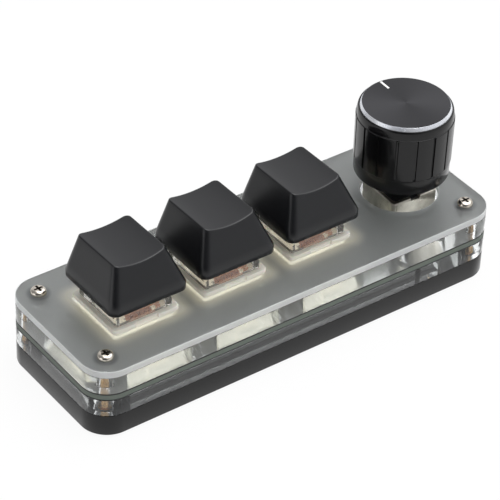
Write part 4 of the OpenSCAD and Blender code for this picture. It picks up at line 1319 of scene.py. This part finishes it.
def glow(tree, direction, towards, edges, strength):
    """Light of a soft panel in the world, which fades out between two angles from its middle."""
    length = math.sqrt(sum(c * c for c in towards))
    middle = [c / length for c in towards]
    facing = add(tree, "ShaderNodeVectorMath", {0: direction, 1: middle}, operation="DOT_PRODUCT")
    full, none = (math.cos(math.radians(angle)) for angle in edges)
    panel = add(tree, "ShaderNodeMapRange", {"Value": facing.outputs["Value"], "From Min": none,
                                             "From Max": full, "To Max": strength},
                interpolation_type="SMOOTHSTEP")
    return panel.outputs["Result"]


def build_world():
    """Studio: a dim room with a broad panel overhead and softer ones behind, left and right."""
    world = bpy.data.worlds.new("soft_studio")
    bpy.context.scene.world = world
    world.use_nodes = True
    tree = world.node_tree
    tree.nodes.clear()
    direction = add(tree, "ShaderNodeTexCoord").outputs["Generated"]
    total = ROOM_LEVEL
    for towards, edges, strength in PANELS:
        panel = glow(tree, direction, towards, edges, strength)
        total = add(tree, "ShaderNodeMath", {0: panel, 1: total}).outputs[0]
    # To the camera, and through clear plastic, the room is as white as the backdrop
    rays = add(tree, "ShaderNodeLightPath")
    white = add(tree, "ShaderNodeMath", {0: rays.outputs["Is Camera Ray"],
                                         1: rays.outputs["Is Transmission Ray"]},
                operation="MAXIMUM")
    level = add(tree, "ShaderNodeMath", {0: total, 1: white.outputs[0]}, operation="MAXIMUM")
    light = add(tree, "ShaderNodeBackground", {"Color": to_linear("#fdfdff"),
                                               "Strength": level.outputs[0]})
    add(tree, "ShaderNodeOutputWorld", {"Surface": light.outputs[0]})


def build_lamp():
    """Square soft lamp overhead that looks at the middle of the floor."""
    data = bpy.data.lights.new("overhead_panel", "AREA")
    data.shape = "RECTANGLE"
    data.size, data.size_y = LAMP_SIZE
    data.energy = LAMP_WATTS
    lamp = new_object("overhead_panel", data)
    lamp.location = LAMP_PLACE
    lamp.rotation_euler = (-Vector(LAMP_PLACE)).to_track_quat("-Z", "Y").to_euler()


def build_camera():
    """Camera at the photograph's viewing angle."""
    azimuth, elevation, roll = (math.radians(a) for a in CAMERA_ANGLES)
    place = Vector(CAMERA_PLACE)
    back = Vector((math.sin(azimuth) * math.cos(elevation),
                   -math.cos(azimuth) * math.cos(elevation), math.sin(elevation)))
    right = Vector((math.cos(azimuth), math.sin(azimuth), 0))
    up = back.cross(right)
    across = math.cos(roll) * right + math.sin(roll) * up
    upright = math.cos(roll) * up - math.sin(roll) * right
    data = bpy.data.cameras.new("camera")
    data.sensor_width = 36.0
    data.lens = CAMERA_LENS
    data.clip_start, data.clip_end = 0.02, 20.0
    camera = new_object("camera", data)
    camera.matrix_world = Matrix((
        (across.x, upright.x, back.x, place.x), (across.y, upright.y, back.y, place.y),
        (across.z, upright.z, back.z, place.z), (0, 0, 0, 1)))
    bpy.context.scene.camera = camera


def main():
    """Camera, pieces, the CAD nodes that stay, floor and light."""
    build_camera()
    acrylic, nickel, nylon = cast_acrylic(), nickel_plate(), milky_nylon()
    tin, wire = tinned_sheet(), spring_wire()
    build_base(black_acrylic())
    # One pressed face in two tones: painted shade on the lower frame, painted light on the upper
    build_lower_frame(acrylic, pressed_face("pressed_face_painted_shade", "#5c6266", 0.72))
    build_upper_frame(acrylic, pressed_face("pressed_face_painted_light", "#f0f1ef", 0.76))
    build_top_plate(frosted_acrylic(), acrylic, sawn_edge())
    build_screws(nickel, thread_metal(), recess_shadow())
    build_keycaps(moulded_abs_keycap())
    build_switches(nylon, painted_glow_nylon(), clear_polycarbonate(), wire)
    build_encoder(tin, wire)
    build_knob(moulded_abs_knob(), anodised_disc(), diamond_cut_edge(), pointer_paint())
    build_socket(nickel)
    dress_cad_nodes(nickel, nylon, tin)
    build_floor()
    build_world()
    build_lamp()
    bpy.context.scene.view_settings.view_transform = "Standard"


main()
